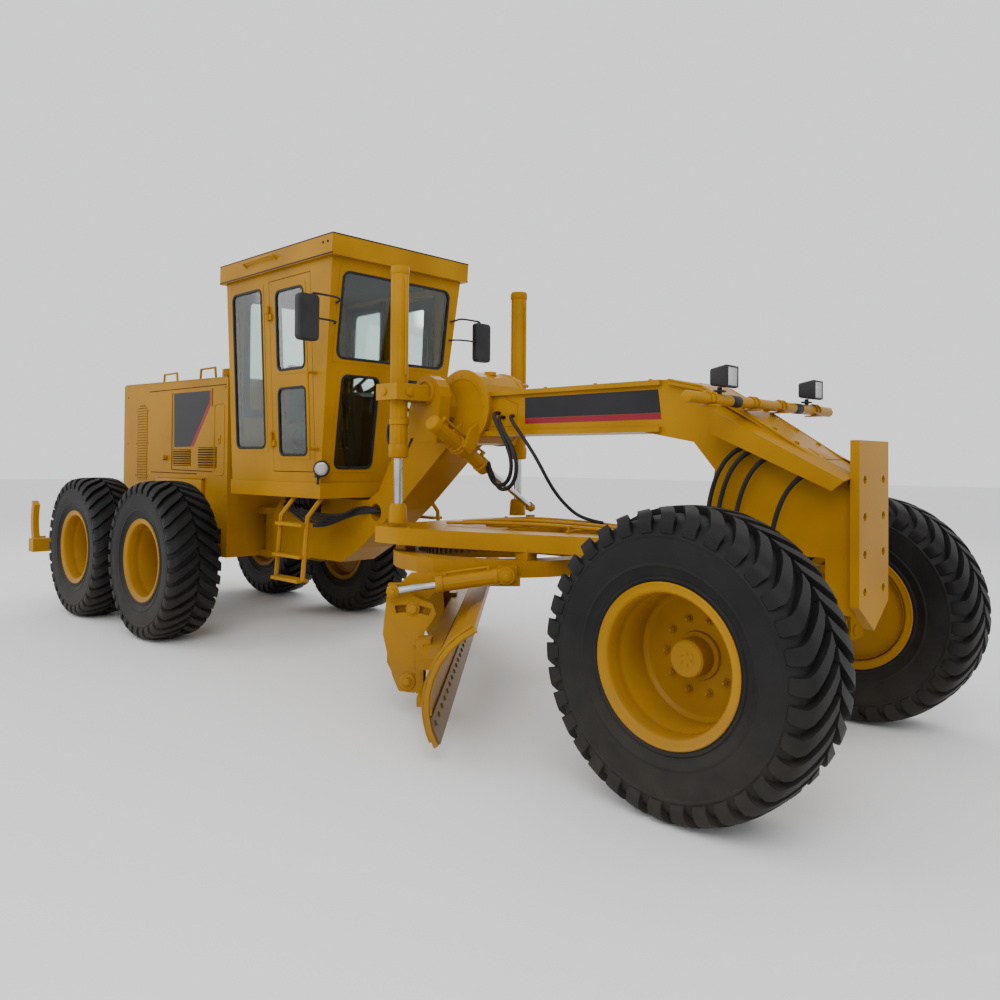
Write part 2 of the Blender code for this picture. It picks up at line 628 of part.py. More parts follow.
light_bar_x = FRONT_X - 0.13
light_bar = pipe("light_bar", [(light_bar_x, -0.81, 1.848), (light_bar_x, 0.81, 1.848)], 0.03)
join(light_bar, box("bar_foot", (light_bar_x - 0.04, -0.13, 1.8092), (light_bar_x + 0.04, 0.13, 1.85)))
for side in ACROSS:
    lamp = box("lamp", (light_bar_x - 0.03, side * 0.50 - 0.06, 1.90),
               (light_bar_x + 0.08, side * 0.50 + 0.06, 2.02))
    stem = boss("lamp_stem", (light_bar_x, side * 0.50, 1.88), (0, 0, 1), 0.015, 0.09, 8)
    join(light_bar, stem, lamp)
hang(finish(light_bar, "dark_paint"), front_frame)

# Lift cylinders: the barrels are clamped in the yokes, and the rods reach down to the drawbar.
for side in ACROSS:
    name = SIDE_NAMES[side]
    top, gland = 2.86, 1.56
    barrel = turned(f"lift_barrel_{name}", [
        (0, top), (barrel_radius, top), (barrel_radius, gland), (0.0306, gland), (0.0306, top - 0.15),
        (0, top - 0.15)], 12, Matrix.Translation((SADDLE_X, side * LIFT_ARM_Y, 0)))
    rod = turned(f"lift_rod_{name}", [
        (0, 2.40), (0.03, 2.40), (0.03, LIFT_SOCKET_Z + 0.14), (0.055, LIFT_SOCKET_Z + 0.12),
        (0.06, LIFT_SOCKET_Z + 0.02), (0, LIFT_SOCKET_Z + 0.015)], 12,
        Matrix.Translation((SADDLE_X, side * LIFT_ARM_Y, 0)))
    hang(finish(barrel, "yellow_paint"), front_frame)
    slide = pivot(f"lift_rod_{name}", (SADDLE_X, side * LIFT_ARM_Y, LIFT_ARM_Z), front_frame)
    hang(finish(rod, "steel"), slide)

# ---------------------------------------------------------------- cab
floor_low = CAB_BASE - CAB_FLOOR_THICKNESS
side_tilt = math.atan2(CAB_HALF_HIGH - CAB_HALF_LOW, CAB_TOP - CAB_BASE)


def cab_half(z):
    """Half the cab's outer width at a height."""
    return CAB_HALF_LOW + (z - CAB_BASE) * math.tan(side_tilt)


def cab_front(z):
    return CAB_FRONT_LOW + (CAB_FRONT_HIGH - CAB_FRONT_LOW) * (z - CAB_BASE) / (CAB_TOP - CAB_BASE)


def cab_tube(name, low, high, inset):
    """The cab's outline as a solid, drawn in by the inset."""
    sizes = [(CAB_REAR + inset, cab_front(z) - inset, cab_half(z) - inset) for z in (low, high)]
    return frustum(name, sizes[0], sizes[1], low, high)


def cab_walls(name):
    return cut(cab_tube(name, CAB_BASE + SEAT_GAP, CAB_TOP, 0),
               cab_tube("inside", CAB_BASE - 0.2, CAB_TOP + 0.2, CAB_WALL))


def through_side(name, side, rear, front, low, high):
    """A box that passes through one side wall."""
    near, far = sorted((side * 0.3, side * 1.0))
    return box(name, (rear, near, low), (front, far, high))


shell = cab_walls("cab_shell")
hinge_levels = (1.70, 2.72)
for side in ACROSS:
    cut(shell,
        through_side("doorway", side, DOOR_REAR, DOOR_FRONT, DOOR_BASE, DOOR_TOP),
        through_side("rear_side_window", side, CAB_REAR + 0.09, DOOR_REAR - 0.10, 1.62, 2.95))
front_cuts = [box("windscreen", (2.2, -0.55, 2.30), (3.2, 0.55, 2.97))]
for side in ACROSS:
    near, far = sorted((side * 0.10, side * 0.48))
    front_cuts.append(box("lower_window", (2.2, near, 1.46), (3.2, far, 2.20)))
cut(shell, *front_cuts, box("rear_window", (0.9, -0.46, 1.95), (1.4, 0.46, 2.95)))
for side in ACROSS:
    for z in hinge_levels:
        y = side * (cab_half(z) + 0.018)
        leaf_low, leaf_high = sorted((side * (cab_half(z) - 0.02), y))
        join(shell, boss("hinge_stub", (DOOR_REAR, y, z + 0.0306),
                         (0, side * math.sin(side_tilt), math.cos(side_tilt)),
                         0.014, 0.06, 8),
             box("hinge_leaf", (DOOR_REAR - 0.05, leaf_low, z + 0.008), (DOOR_REAR, leaf_high, z + 0.052)))
hang(finish(shell, "yellow_paint"), front_frame)

for side in ACROSS:
    name = f"cab_door_{SIDE_NAMES[side]}"
    door = cab_walls(name)
    clip = through_side("door_clip", side, DOOR_REAR + DOOR_GAP, DOOR_FRONT - DOOR_GAP,
                        DOOR_BASE + DOOR_GAP,
                        DOOR_TOP - DOOR_GAP)
    combine(door, [clip], "INTERSECT")
    cut(door,
        through_side("upper_window", side, DOOR_REAR + 0.09, DOOR_FRONT - 0.09, 2.24, 2.90),
        through_side("lower_window", side, DOOR_REAR + 0.09, DOOR_FRONT - 0.09, 1.56, 2.12))
    for z in hinge_levels:
        y = side * (cab_half(z) + 0.018)
        leaf_low, leaf_high = sorted((side * (cab_half(z) - 0.02), y))
        join(door, boss("hinge_barrel", (DOOR_REAR, y, z - 0.0306),
                        (0, side * math.sin(side_tilt), math.cos(side_tilt)), 0.014, 0.06, 8),
             box("door_leaf", (DOOR_REAR, leaf_low, z - 0.052), (DOOR_REAR + 0.05, leaf_high, z - 0.008)))
    hinge = pivot(name, (DOOR_REAR, side * (cab_half(2.2) + 0.018), 2.2), front_frame)
    hang(finish(door, "yellow_paint"), hinge)

floor = box("cab_floor", (CAB_REAR - 0.01, -CAB_HALF_LOW - 0.01, floor_low),
            (CAB_FRONT_LOW + 0.01, CAB_HALF_LOW + 0.01, CAB_BASE))
for x in (1.4, 2.3):
    join(floor, box("cab_foot", (x, -0.12, floor_low - 0.02 + SEAT_GAP), (x + 0.1, 0.12, floor_low + 0.01)))
for side in ACROSS:
    for x in (2.05, 2.42):
        join(floor, pipe("step_side", [(x, side * 0.52, floor_low + 0.02), (x, side * 0.66, 1.10),
                                       (x, side * 0.70, 0.62)], 0.018, 6))
    for z in (1.04, 0.80, 0.62):
        y = side * (0.66 + (1.10 - z) * 0.083)
        join(floor, box("tread", (2.05, y - 0.05, z - 0.012), (2.42, y + 0.05, z + 0.012)))
hang(finish(floor, "yellow_paint"), front_frame)

roof = frustum("cab_roof", (CAB_REAR - 0.05, cab_front(CAB_TOP) + 0.05, ROOF_HALF),
               (CAB_REAR - 0.05, cab_front(CAB_TOP) + 0.06, ROOF_HALF), CAB_TOP + SEAT_GAP,
               CAB_TOP + ROOF_THICKNESS)
cut(roof, box("roof_inside", (CAB_REAR + 0.06, -0.56, CAB_TOP - 0.1),
              (CAB_FRONT_HIGH - 0.09, 0.56, CAB_TOP + 0.10)))
hang(finish(roof, "yellow_paint"), front_frame)

cab_seat = box("operator_seat", (1.42, -0.24, CAB_BASE + SEAT_GAP), (1.86, 0.24, 1.82))
join(cab_seat, box("seat_back", (1.32, -0.24, 1.72), (1.46, 0.24, 2.42)))
hang(finish(cab_seat, "seat_cloth"), front_frame)

console = plate("steering_console", "Y", -0.14, 0.14, [
    (2.18, CAB_BASE + SEAT_GAP), (2.36, CAB_BASE + SEAT_GAP), (2.40, 2.05), (2.22, 2.10), (2.16, 2.02),
    (2.24, 1.96)])
join(console, turned("steering_wheel", [(0.20, 0.015), (0.20, -0.015), (0.17, -0.015), (0.17, 0.015),
                                        (0.20, 0.015)],
                     16, pointing((2.14, 0, 2.16), (-0.5, 0, 1))),
     pipe("wheel_spoke", [(2.14 + 0.8944 * 0.18, 0, 2.16 + 0.4472 * 0.18),
                          (2.14 - 0.8944 * 0.18, 0, 2.16 - 0.4472 * 0.18)],
          0.014, 6),
     pipe("wheel_post", [(2.14, 0, 2.16), (2.26, 0, 1.98)], 0.03, 8))
hang(finish(console, "dark_paint"), front_frame)

for side in ACROSS:
    y0 = cab_half(2.62)
    arm = pipe(f"mirror_{SIDE_NAMES[side]}", [
        (cab_front(2.72) + 0.0024, side * (y0 - 0.05), 2.72),
        (cab_front(2.72) + 0.06, side * (y0 - 0.05), 2.72),
        (cab_front(2.72) + 0.10, side * (y0 + 0.24), 2.74)], 0.014, 6)
    head = box("mirror_head", (cab_front(2.72) + 0.05, side * (y0 + 0.24) - 0.10, 2.39),
               (cab_front(2.72) + 0.10, side * (y0 + 0.24) + 0.10, 2.73))
    join(arm, head)
    hang(finish(arm, "dark_paint"), front_frame)

# ---------------------------------------------------------------- front axle
axle_beam = plate("front_axle", "X", FRONT_X - 0.12, FRONT_X + 0.12, [
    *arc((LEAN_Y, LEAN_Z), 0.05, -90, 90, 4), (0.40, 0.68), (0.22, 0.84), (0.16, 1.0),
    (-0.16, 1.0), (-0.22, 0.84), (-0.40, 0.68), *arc((-LEAN_Y, LEAN_Z), 0.05, 90, 270, 4)])
for side in ACROSS:
    near, far = sorted((side * 0.47, side * 0.8))
    cut(axle_beam, boss("lean_bore", (FRONT_X, side * LEAN_Y, LEAN_Z), (1, 0, 0), LEAN_PIN + BEARING_GAP,
                        0.5, 24),
        box("end_front", (FRONT_X + 0.08, near, 0.4), (FRONT_X + 0.2, far, 0.8)),
        box("end_rear", (FRONT_X - 0.2, near, 0.4), (FRONT_X - 0.08, far, 0.8)))
cut(axle_beam, boss("pin_bore", (FRONT_X, 0, 0.93), (1, 0, 0), 0.05 + SEAT_GAP, 0.6, 12))
hang(finish(axle_beam, "yellow_paint"), front_frame)

# ---------------------------------------------------------------- drawbar, circle and blade
drawbar_pivot = pivot("drawbar", (BALL_X, 0, BALL_Z), front_frame)
drawbar = plate("drawbar", "Z", DRAWBAR_BOTTOM, DRAWBAR_TOP, [
    (BALL_X - 0.05, 0.07), (CIRCLE_X + 0.1, 0.60), (SADDLE_X + 0.12, 0.70), (SADDLE_X - 0.12, 0.70),
    (SADDLE_X - 0.22, 0.50), (SADDLE_X - 0.22, -0.50), (SADDLE_X - 0.12, -0.70), (SADDLE_X + 0.12, -0.70),
    (CIRCLE_X + 0.1, -0.60), (BALL_X - 0.05, -0.07)],
    [[(BALL_X - 0.45, 0), (CIRCLE_X + 0.25, 0.32), (CIRCLE_X + 0.25, -0.32)]])
for x, y in ((SADDLE_X, 0.527), (CIRCLE_X + 0.55, 0.38)):
    for side in ACROSS:
        join(drawbar, box("shoe", (x - 0.05, side * y - 0.045, CIRCLE_TOP + BEARING_GAP),
                          (x + 0.05, side * y + 0.045, DRAWBAR_BOTTOM + 0.02)))
post_low, post_high = DRAWBAR_TOP - 0.02, SHIFT_EYE[2] - 0.06
join(drawbar, ball("ball", (BALL_X, 0, BALL_Z), BALL_RADIUS),
     boss("shift_post", (*SHIFT_EYE[:2], (post_low + post_high) / 2), (0, 0, 1), 0.035,
          post_high - post_low, 12))
hang(finish(drawbar, "yellow_paint"), drawbar_pivot)

circle_pivot = pivot("circle", (CIRCLE_X, 0, 0), drawbar_pivot, BLADE_ANGLE)
arm_inner = ARM_OUTER - 0.10
circle = plate("circle", "Z", CIRCLE_BOTTOM, CIRCLE_TOP, arc((0, 0), CIRCLE_RADIUS, 0, 348.75, 31),
               [arc((0, 0), CIRCLE_BORE, 0, 348.75, 31)])
for side in ACROSS:
    low, high = sorted((side * arm_inner, side * ARM_OUTER))
    join(circle, plate("blade_arm", "Y", low, high, [
        (0.12, CIRCLE_BOTTOM + 0.02), (TIP_PIN_N, CIRCLE_BOTTOM + 0.02), (TIP_PIN_N - 0.13, 0.72),
        (TIP_PIN_N - 0.13, 0.32), (TIP_PIN_N - 0.05, 0.16), (TIP_PIN_N + 0.05, 0.16),
        (TIP_PIN_N + 0.08, 0.24),
        (TIP_PIN_N + 0.05, 0.58), (TIP_PIN_N + 0.15, 0.74), (TIP_PIN_N + 0.26, 0.785), (0.12, 0.785)]),
        boss("tip_pin", (TIP_PIN_N, side * ARM_OUTER, TIP_PIN_Z), (0, 1, 0), 0.03, 0.13, 24))
tip_barrel_pin = (0.04, -BRACKET_Y - 0.06, 0.865)
tip_rod_pin = (TIP_PIN_N - 0.08, -BRACKET_Y - 0.06, 0.765)
join(circle, box("outrigger", (-0.02, 0.046 - BRACKET_Y - 0.06, CIRCLE_BOTTOM), (0.10, -0.68, 0.905)),
     boss("tip_cylinder_pin", tip_barrel_pin, (0, 1, 0), 0.025, 0.14, 24))
seat(finish(circle, "yellow_paint"), circle_pivot)

# Brackets that hold the moldboard's rails and tip on the arms' pins.
tip_pivot = pivot("blade_tip", (0, 0, 0), circle_pivot)
tip_pivot.matrix_parent_inverse = Matrix()
tip_pivot.matrix_basis = Matrix.Translation((TIP_PIN_N, 0, TIP_PIN_Z))
bpy.context.view_layer.update()
shift = Matrix.Translation((-TIP_PIN_N, 0, -TIP_PIN_Z))
slot = arc((TIP_PIN_N, TIP_PIN_Z), 0.455, 72, 100, 5) + arc((TIP_PIN_N, TIP_PIN_Z), 0.41, 100, 72, 5)
for side in ACROSS:
    low, high = sorted((side * (ARM_OUTER + 0.006), side * (ARM_OUTER + 0.006 + BRACKET_THICKNESS)))
    bracket = plate(f"tip_bracket_{SIDE_NAMES[side]}", "Y", low, high, [
        (TIP_PIN_N - 0.12, 0.80), (TIP_PIN_N - 0.04, 0.80), (TIP_PIN_N + 0.05, 0.72),
        (TIP_PIN_N + 0.15, 0.68),
        (TIP_PIN_N + 0.17, 0.62), (TIP_PIN_N + 0.10, 0.51), (RAIL_BACK - 0.02, 0.49),
        (RAIL_BACK - 0.02, 0.18),
        (TIP_PIN_N + 0.04, 0.15), (TIP_PIN_N - 0.05, 0.16), (TIP_PIN_N - 0.09, 0.25),
        (TIP_PIN_N - 0.15, 0.50)],
        [slot])
    jaw_low, jaw_high = sorted((side * (ARM_OUTER + 0.02), side * (ARM_OUTER + 0.15)))
    join(bracket,
         box("jaw_back", (RAIL_BACK - 0.05, jaw_low, 0.175), (RAIL_BACK - 0.006, jaw_high, 0.485)),
         box("upper_jaw", (RAIL_BACK - 0.03, jaw_low, UPPER_RAIL[1] + BEARING_GAP),
             (RAIL_FRONT - 0.005, jaw_high, 0.49)),
         box("lower_jaw", (RAIL_BACK - 0.03, jaw_low, 0.17),
             (RAIL_FRONT - 0.005, jaw_high, LOWER_RAIL[0] - BEARING_GAP)))
    cut(bracket, boss("tip_bore", (TIP_PIN_N, side * ARM_OUTER, TIP_PIN_Z), (0, 1, 0), 0.03 + BEARING_GAP,
                      0.6, 24))
    bracket.data.transform(shift)
    seat(finish(bracket, "yellow_paint"), tip_pivot)

# Moldboard: an arc of plate between its edge and its top, with two rails on its back.
edge = Vector((BLADE_SETBACK, BLADE_TIP_Z))
rise = Vector((math.sin(BLADE_LEAN), math.cos(BLADE_LEAN)))
middle = edge + rise * BLADE_HEIGHT / 2
centre = middle + Vector((rise.y, -rise.x)) * math.sqrt(BLADE_RADIUS ** 2 - (BLADE_HEIGHT / 2) ** 2)
start = math.degrees(math.atan2(*(edge - centre).yx)) % 360
end = math.degrees(math.atan2(*(edge + rise * BLADE_HEIGHT - centre).yx)) % 360
front_face = arc(centre, BLADE_RADIUS, start, end, 8)
back_face = arc(centre, BLADE_RADIUS + BLADE_THICKNESS, end, start, 8)
half_length = BLADE_LENGTH / 2
moldboard = plate("moldboard", "Y", BLADE_SIDE_SHIFT - half_length, BLADE_SIDE_SHIFT + half_length,
                  front_face + back_face)
for low, high in (UPPER_RAIL, LOWER_RAIL):
    join(moldboard, box("blade_rail", (RAIL_BACK, BLADE_SIDE_SHIFT - 1.5, low),
                        (BLADE_SETBACK - 0.05, BLADE_SIDE_SHIFT + 1.5, high)))
moldboard.data.transform(shift)
blade_pivot = pivot("moldboard", (0, 0, 0), tip_pivot)
blade_pivot.matrix_parent_inverse = Matrix()
blade_pivot.matrix_basis = Matrix()
seat(finish(moldboard, "yellow_paint"), blade_pivot)

barrel, rod = cylinder("tip_cylinder", tip_barrel_pin, tip_rod_pin, 0.045, 0.022, 0.42, 0.13, 0.03)
bored_eye(barrel, tip_barrel_pin, 0.05, 0.025, 0.09)
tip_barrel_pivot = pivot("tip_cylinder_barrel", (0, 0, 0), circle_pivot)
tip_barrel_pivot.matrix_parent_inverse = Matrix()
tip_barrel_pivot.matrix_basis = Matrix.Translation(tip_barrel_pin)
for piece in (barrel, rod):
    piece.data.transform(Matrix.Translation(-Vector(tip_barrel_pin)))
    seat(piece, tip_barrel_pivot)

# ---------------------------------------------------------------- centre-shift cylinder
reach = Vector(SHIFT_EYE) - Vector(SHIFT_TRUNNION)
along = pointing(SHIFT_TRUNNION, reach)
bore = SHIFT_ROD_RADIUS + BEARING_GAP
shift_barrel = turned("centre_shift_barrel", [
    (0, -0.26), (bore, -0.26), (bore, 0.30), (SHIFT_BARREL_RADIUS, 0.30), (SHIFT_BARREL_RADIUS, -0.34),
    (0, -0.34),
], 12, along)
for sign in ACROSS:
    join(shift_barrel, boss("trunnion", (trunnion_x + sign * 0.065, trunnion_y, trunnion_z), (1, 0, 0),
                            0.02, 0.07, 24))
shift_rod = turned("centre_shift_rod", [
    (0, -0.14), (SHIFT_ROD_RADIUS, -0.14), (SHIFT_ROD_RADIUS, reach.length - 0.02),
    (SHIFT_EYE_RADIUS, reach.length - 0.02),
    (SHIFT_EYE_RADIUS, reach.length + 0.02), (0, reach.length + 0.02)], 12, along)
shift_pivot = pivot("centre_shift", SHIFT_TRUNNION, front_frame)
hang(finish(shift_barrel, "yellow_paint"), shift_pivot)
hang(finish(shift_rod, "steel"), shift_pivot)

# ---------------------------------------------------------------- leaning and steering front wheels
for side in ACROSS:
    name = SIDE_NAMES[side]
    y_low, y_high = sorted((side * 0.63, side * 0.695))
    carrier = box(f"wheel_carrier_{name}", (FRONT_X - 0.10, y_low, 0.55), (FRONT_X + 0.10, y_high, 0.80))
    ear = [(0.50, 0.57), (0.54, 0.545), (0.695, 0.55), (0.695, 0.80), (0.62, 0.80)]
    top = [(0.60, LEAN_BAR_Z + 0.03), (0.52, LEAN_BAR_Z + 0.03), (0.50, 0.66)]
    lower = [(0.52, 0.66), (0.50, 0.63)]
    for x_low, x_high, outline in ((0.0856, 0.125, ear + top), (-0.125, -0.0856, ear + lower)):
        join(carrier, plate("lean_ear", "X", FRONT_X + x_low, FRONT_X + x_high,
                            [(side * y, z) for y, z in outline]), solver=SIMPLE_SOLVER)
    for z_low, z_high in ((0.55, TYRE_RADIUS - KNUCKLE_HALF - BEARING_GAP),
                          (TYRE_RADIUS + KNUCKLE_HALF + BEARING_GAP, 0.80)):
        lug = [(FRONT_X + x, side * y) for x, y in (
            (-0.055, 0.66), (0.055, 0.66), *arc((0, KINGPIN_Y), 0.055, 0, 180, 6))]
        join(carrier, plate("kingpin_lug", "Z", z_low, z_high, lug), solver=SIMPLE_SOLVER)
    join(carrier,
         boss("kingpin", (FRONT_X, side * KINGPIN_Y, 0.675), (0, 0, 1), KINGPIN, 0.26, 24),
         boss("lean_pin", (FRONT_X, side * LEAN_Y, LEAN_Z), (1, 0, 0), LEAN_PIN, 0.27, 24),
         boss("bar_pin", (FRONT_X + 0.15, side * LEAN_Y, LEAN_BAR_Z), (1, 0, 0), LEAN_BAR_PIN, 0.10, 24),
         solver=SIMPLE_SOLVER)
    carrier_pivot = pivot(f"wheel_carrier_{name}", (FRONT_X, side * LEAN_Y, LEAN_Z), front_frame)
    hang(finish(carrier, "yellow_paint"), carrier_pivot)

    spindle_end = FRONT_TRACK_HALF + DISC_OFFSET - DISC_THICKNESS - BEARING_GAP
    knuckle = boss(f"steering_knuckle_{name}", (FRONT_X, side * KINGPIN_Y, TYRE_RADIUS), (0, 0, 1), 0.044,
                   2 * KNUCKLE_HALF, 16)
    join(knuckle, boss("spindle", (FRONT_X, side * (KINGPIN_Y + 0.01 + spindle_end) / 2, TYRE_RADIUS),
                       (0, 1, 0), 0.068, spindle_end - KINGPIN_Y - 0.01, 16))
    cut(knuckle, boss("kingpin_bore", (FRONT_X, side * KINGPIN_Y, TYRE_RADIUS), (0, 0, 1),
                      KINGPIN + BEARING_GAP, 0.4, 24))
    knuckle_pivot = pivot(f"steering_knuckle_{name}", (FRONT_X, side * KINGPIN_Y, TYRE_RADIUS),
                          carrier_pivot)
    hang(finish(knuckle, "yellow_paint"), knuckle_pivot)
    wheel(f"front_{name}", (FRONT_X, side * FRONT_TRACK_HALF, TYRE_RADIUS), side, knuckle_pivot,
          DISC_OFFSET, 0.12)

bar_outline = arc((LEAN_Y, LEAN_BAR_Z), 0.03, -90, 90, 4) + arc((-LEAN_Y, LEAN_BAR_Z), 0.03, 90, 270, 4)
lean_bar = plate("lean_bar", "X", FRONT_X + 0.125 + BEARING_GAP, FRONT_X + 0.165, bar_outline,
                 [arc((side * LEAN_Y, LEAN_BAR_Z), LEAN_BAR_PIN + BEARING_GAP, 0, 345,
                      23) for side in ACROSS])
lean_bar_pivot = pivot("lean_bar", (FRONT_X, LEAN_Y, LEAN_BAR_Z),
                       bpy.data.objects["wheel_carrier_left_pivot"])
hang(finish(lean_bar, "yellow_paint"), lean_bar_pivot)

# ---------------------------------------------------------------- ripper cylinder
barrel, rod = cylinder("ripper_cylinder", ripper_barrel_pin, ripper_rod_pin, 0.042, 0.022, 0.27, 0.12,
                       0.025)
bored_eye(barrel, ripper_barrel_pin, 0.045, 0.022, 0.10)
ripper_barrel_pivot = pivot("ripper_cylinder", ripper_barrel_pin, rear_frame)
hang(barrel, ripper_barrel_pivot)
hang(rod, ripper_barrel_pivot)

# The origin goes to the ground under the middle of the machine's length.
rear_end = RIPPER_BEAM_X - 0.18
front_end = FRONT_X + TYRE_RADIUS
rear_frame.location.x = -(rear_end + front_end) / 2
bpy.context.view_layer.update()
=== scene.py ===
import json
import math

import bmesh
import bpy
from mathutils import Matrix, Vector


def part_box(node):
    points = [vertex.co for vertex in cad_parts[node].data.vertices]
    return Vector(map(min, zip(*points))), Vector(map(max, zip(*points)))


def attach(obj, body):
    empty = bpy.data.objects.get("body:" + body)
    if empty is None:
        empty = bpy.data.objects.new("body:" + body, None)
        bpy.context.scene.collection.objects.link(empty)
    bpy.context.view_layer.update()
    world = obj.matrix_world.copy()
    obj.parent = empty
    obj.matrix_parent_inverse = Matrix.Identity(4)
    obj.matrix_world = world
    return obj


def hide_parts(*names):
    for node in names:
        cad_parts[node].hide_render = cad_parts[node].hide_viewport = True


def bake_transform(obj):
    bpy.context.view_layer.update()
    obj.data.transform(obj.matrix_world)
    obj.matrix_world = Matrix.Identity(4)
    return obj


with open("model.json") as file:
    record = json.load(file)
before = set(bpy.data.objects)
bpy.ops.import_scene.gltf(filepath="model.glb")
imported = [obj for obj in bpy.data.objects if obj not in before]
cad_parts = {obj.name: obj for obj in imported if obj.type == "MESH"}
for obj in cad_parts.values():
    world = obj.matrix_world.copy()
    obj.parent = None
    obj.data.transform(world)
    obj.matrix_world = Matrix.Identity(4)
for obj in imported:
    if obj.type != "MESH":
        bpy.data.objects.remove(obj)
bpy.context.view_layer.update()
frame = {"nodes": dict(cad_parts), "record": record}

# ------------------------------------------------------------------ studio
# The machine stands on a pale floor in soft light, seen from its right front corner
# at about eye height. Large lamps give the paint broad, soft highlights.
camera_data = bpy.data.cameras.new("camera")
camera_data.lens = 30.3
camera_data.shift_y = -0.05
camera_data.clip_end = 200
camera = bpy.data.objects.new("camera", camera_data)
bpy.context.collection.objects.link(camera)
camera.location = (5.688, -4.253, 1.535)
camera.rotation_euler = (math.radians(90.78), math.radians(-0.43), math.radians(43.89))
bpy.context.scene.camera = camera

floor_mesh = bpy.data.meshes.new("floor")
work = bmesh.new()
bmesh.ops.create_grid(work, x_segments=1, y_segments=1, size=60)
work.to_mesh(floor_mesh)
work.free()
floor = bpy.data.objects.new("floor", floor_mesh)
bpy.context.collection.objects.link(floor)
floor_paint = bpy.data.materials.new("floor")
floor_paint.use_nodes = True
floor_shader = floor_paint.node_tree.nodes["Principled BSDF"]
floor_shader.inputs["Base Color"].default_value = (0.80, 0.80, 0.79, 1)
floor_shader.inputs["Roughness"].default_value = 0.85
floor.data.materials.append(floor_paint)

world = bpy.data.worlds.new("sky")
world.use_nodes = True
world.node_tree.nodes["Background"].inputs["Color"].default_value = (0.94, 0.95, 0.97, 1)
world.node_tree.nodes["Background"].inputs["Strength"].default_value = 1.25
bpy.context.scene.world = world
for name, place, watts, size in (
    ("key_light", (7.0, -7.0, 8.0), 520, 6.0),
    ("fill_light", (-7.0, -8.0, 6.0), 260, 7.0),
    ("rim_light", (-5.0, 8.0, 7.0), 300, 6.0),
):
    lamp = bpy.data.lights.new(name, "AREA")
    lamp.energy = watts
    lamp.size = size
    light = bpy.data.objects.new(name, lamp)
    bpy.context.collection.objects.link(light)
    light.location = place
    light.rotation_euler = (Vector((0, 0, 1.0)) - Vector(place)).to_track_quat("-Z", "Y").to_euler()


# ------------------------------------------------------------------ paint
# Ochre enamel sprayed over steel plate: slightly mottled, dusty low down, orange peel in the gloss.
def new_material(name, colour, roughness, metallic=0.0, specular=0.2):
    material = bpy.data.materials.new(name)
    material.use_nodes = True
    shader = material.node_tree.nodes["Principled BSDF"]
    shader.inputs["Base Color"].default_value = (*colour, 1)
    shader.inputs["Roughness"].default_value = roughness
    shader.inputs["Metallic"].default_value = metallic
    shader.inputs["Specular IOR Level"].default_value = specular
    return material


def mottled(material, light, dark, scale, dust=None, dust_top=1.0, bump=0.0, bump_scale=60.0,
            roughness=(0.35, 0.55)):
    """Noise between two shades, dust that fades with height, varied gloss and a fine bump."""
    nodes, links = material.node_tree.nodes, material.node_tree.links
    shader = nodes["Principled BSDF"]
    place = nodes.new("ShaderNodeTexCoord").outputs["Object"]
    noise = nodes.new("ShaderNodeTexNoise")
    noise.inputs["Scale"].default_value = scale
    noise.inputs["Detail"].default_value = 6
    links.new(place, noise.inputs["Vector"])
    ramp = nodes.new("ShaderNodeValToRGB")
    ramp.color_ramp.elements[0].position = 0.35
    ramp.color_ramp.elements[0].color = (*dark, 1)
    ramp.color_ramp.elements[1].position = 0.62
    ramp.color_ramp.elements[1].color = (*light, 1)
    links.new(noise.outputs["Fac"], ramp.inputs["Fac"])
    colour = ramp.outputs["Color"]
    if dust:
        split = nodes.new("ShaderNodeSeparateXYZ")
        links.new(place, split.inputs["Vector"])
        height = nodes.new("ShaderNodeMapRange")
        height.inputs["From Min"].default_value = dust_top
        height.inputs["From Max"].default_value = 0.0
        links.new(split.outputs["Z"], height.inputs["Value"])
        grains = nodes.new("ShaderNodeTexNoise")
        grains.inputs["Scale"].default_value = 9
        grains.inputs["Detail"].default_value = 8
        links.new(place, grains.inputs["Vector"])
        amount = nodes.new("ShaderNodeMath")
        amount.operation = "MULTIPLY"
        links.new(height.outputs["Result"], amount.inputs[0])
        links.new(grains.outputs["Fac"], amount.inputs[1])
        mix = nodes.new("ShaderNodeMixRGB")
        mix.inputs["Color2"].default_value = (*dust, 1)
        links.new(amount.outputs["Value"], mix.inputs["Fac"])
        links.new(colour, mix.inputs["Color1"])
        colour = mix.outputs["Color"]
    links.new(colour, shader.inputs["Base Color"])
    gloss = nodes.new("ShaderNodeMapRange")
    gloss.inputs["To Min"].default_value = roughness[0]
    gloss.inputs["To Max"].default_value = roughness[1]
    links.new(noise.outputs["Fac"], gloss.inputs["Value"])
    links.new(gloss.outputs["Result"], shader.inputs["Roughness"])
    if bump:
        peel = nodes.new("ShaderNodeTexNoise")
        peel.inputs["Scale"].default_value = bump_scale
        peel.inputs["Detail"].default_value = 3
        links.new(place, peel.inputs["Vector"])
        relief = nodes.new("ShaderNodeBump")
        relief.inputs["Strength"].default_value = bump
        relief.inputs["Distance"].default_value = 0.002
        links.new(peel.outputs["Fac"], relief.inputs["Height"])
        links.new(relief.outputs["Normal"], shader.inputs["Normal"])
    return material


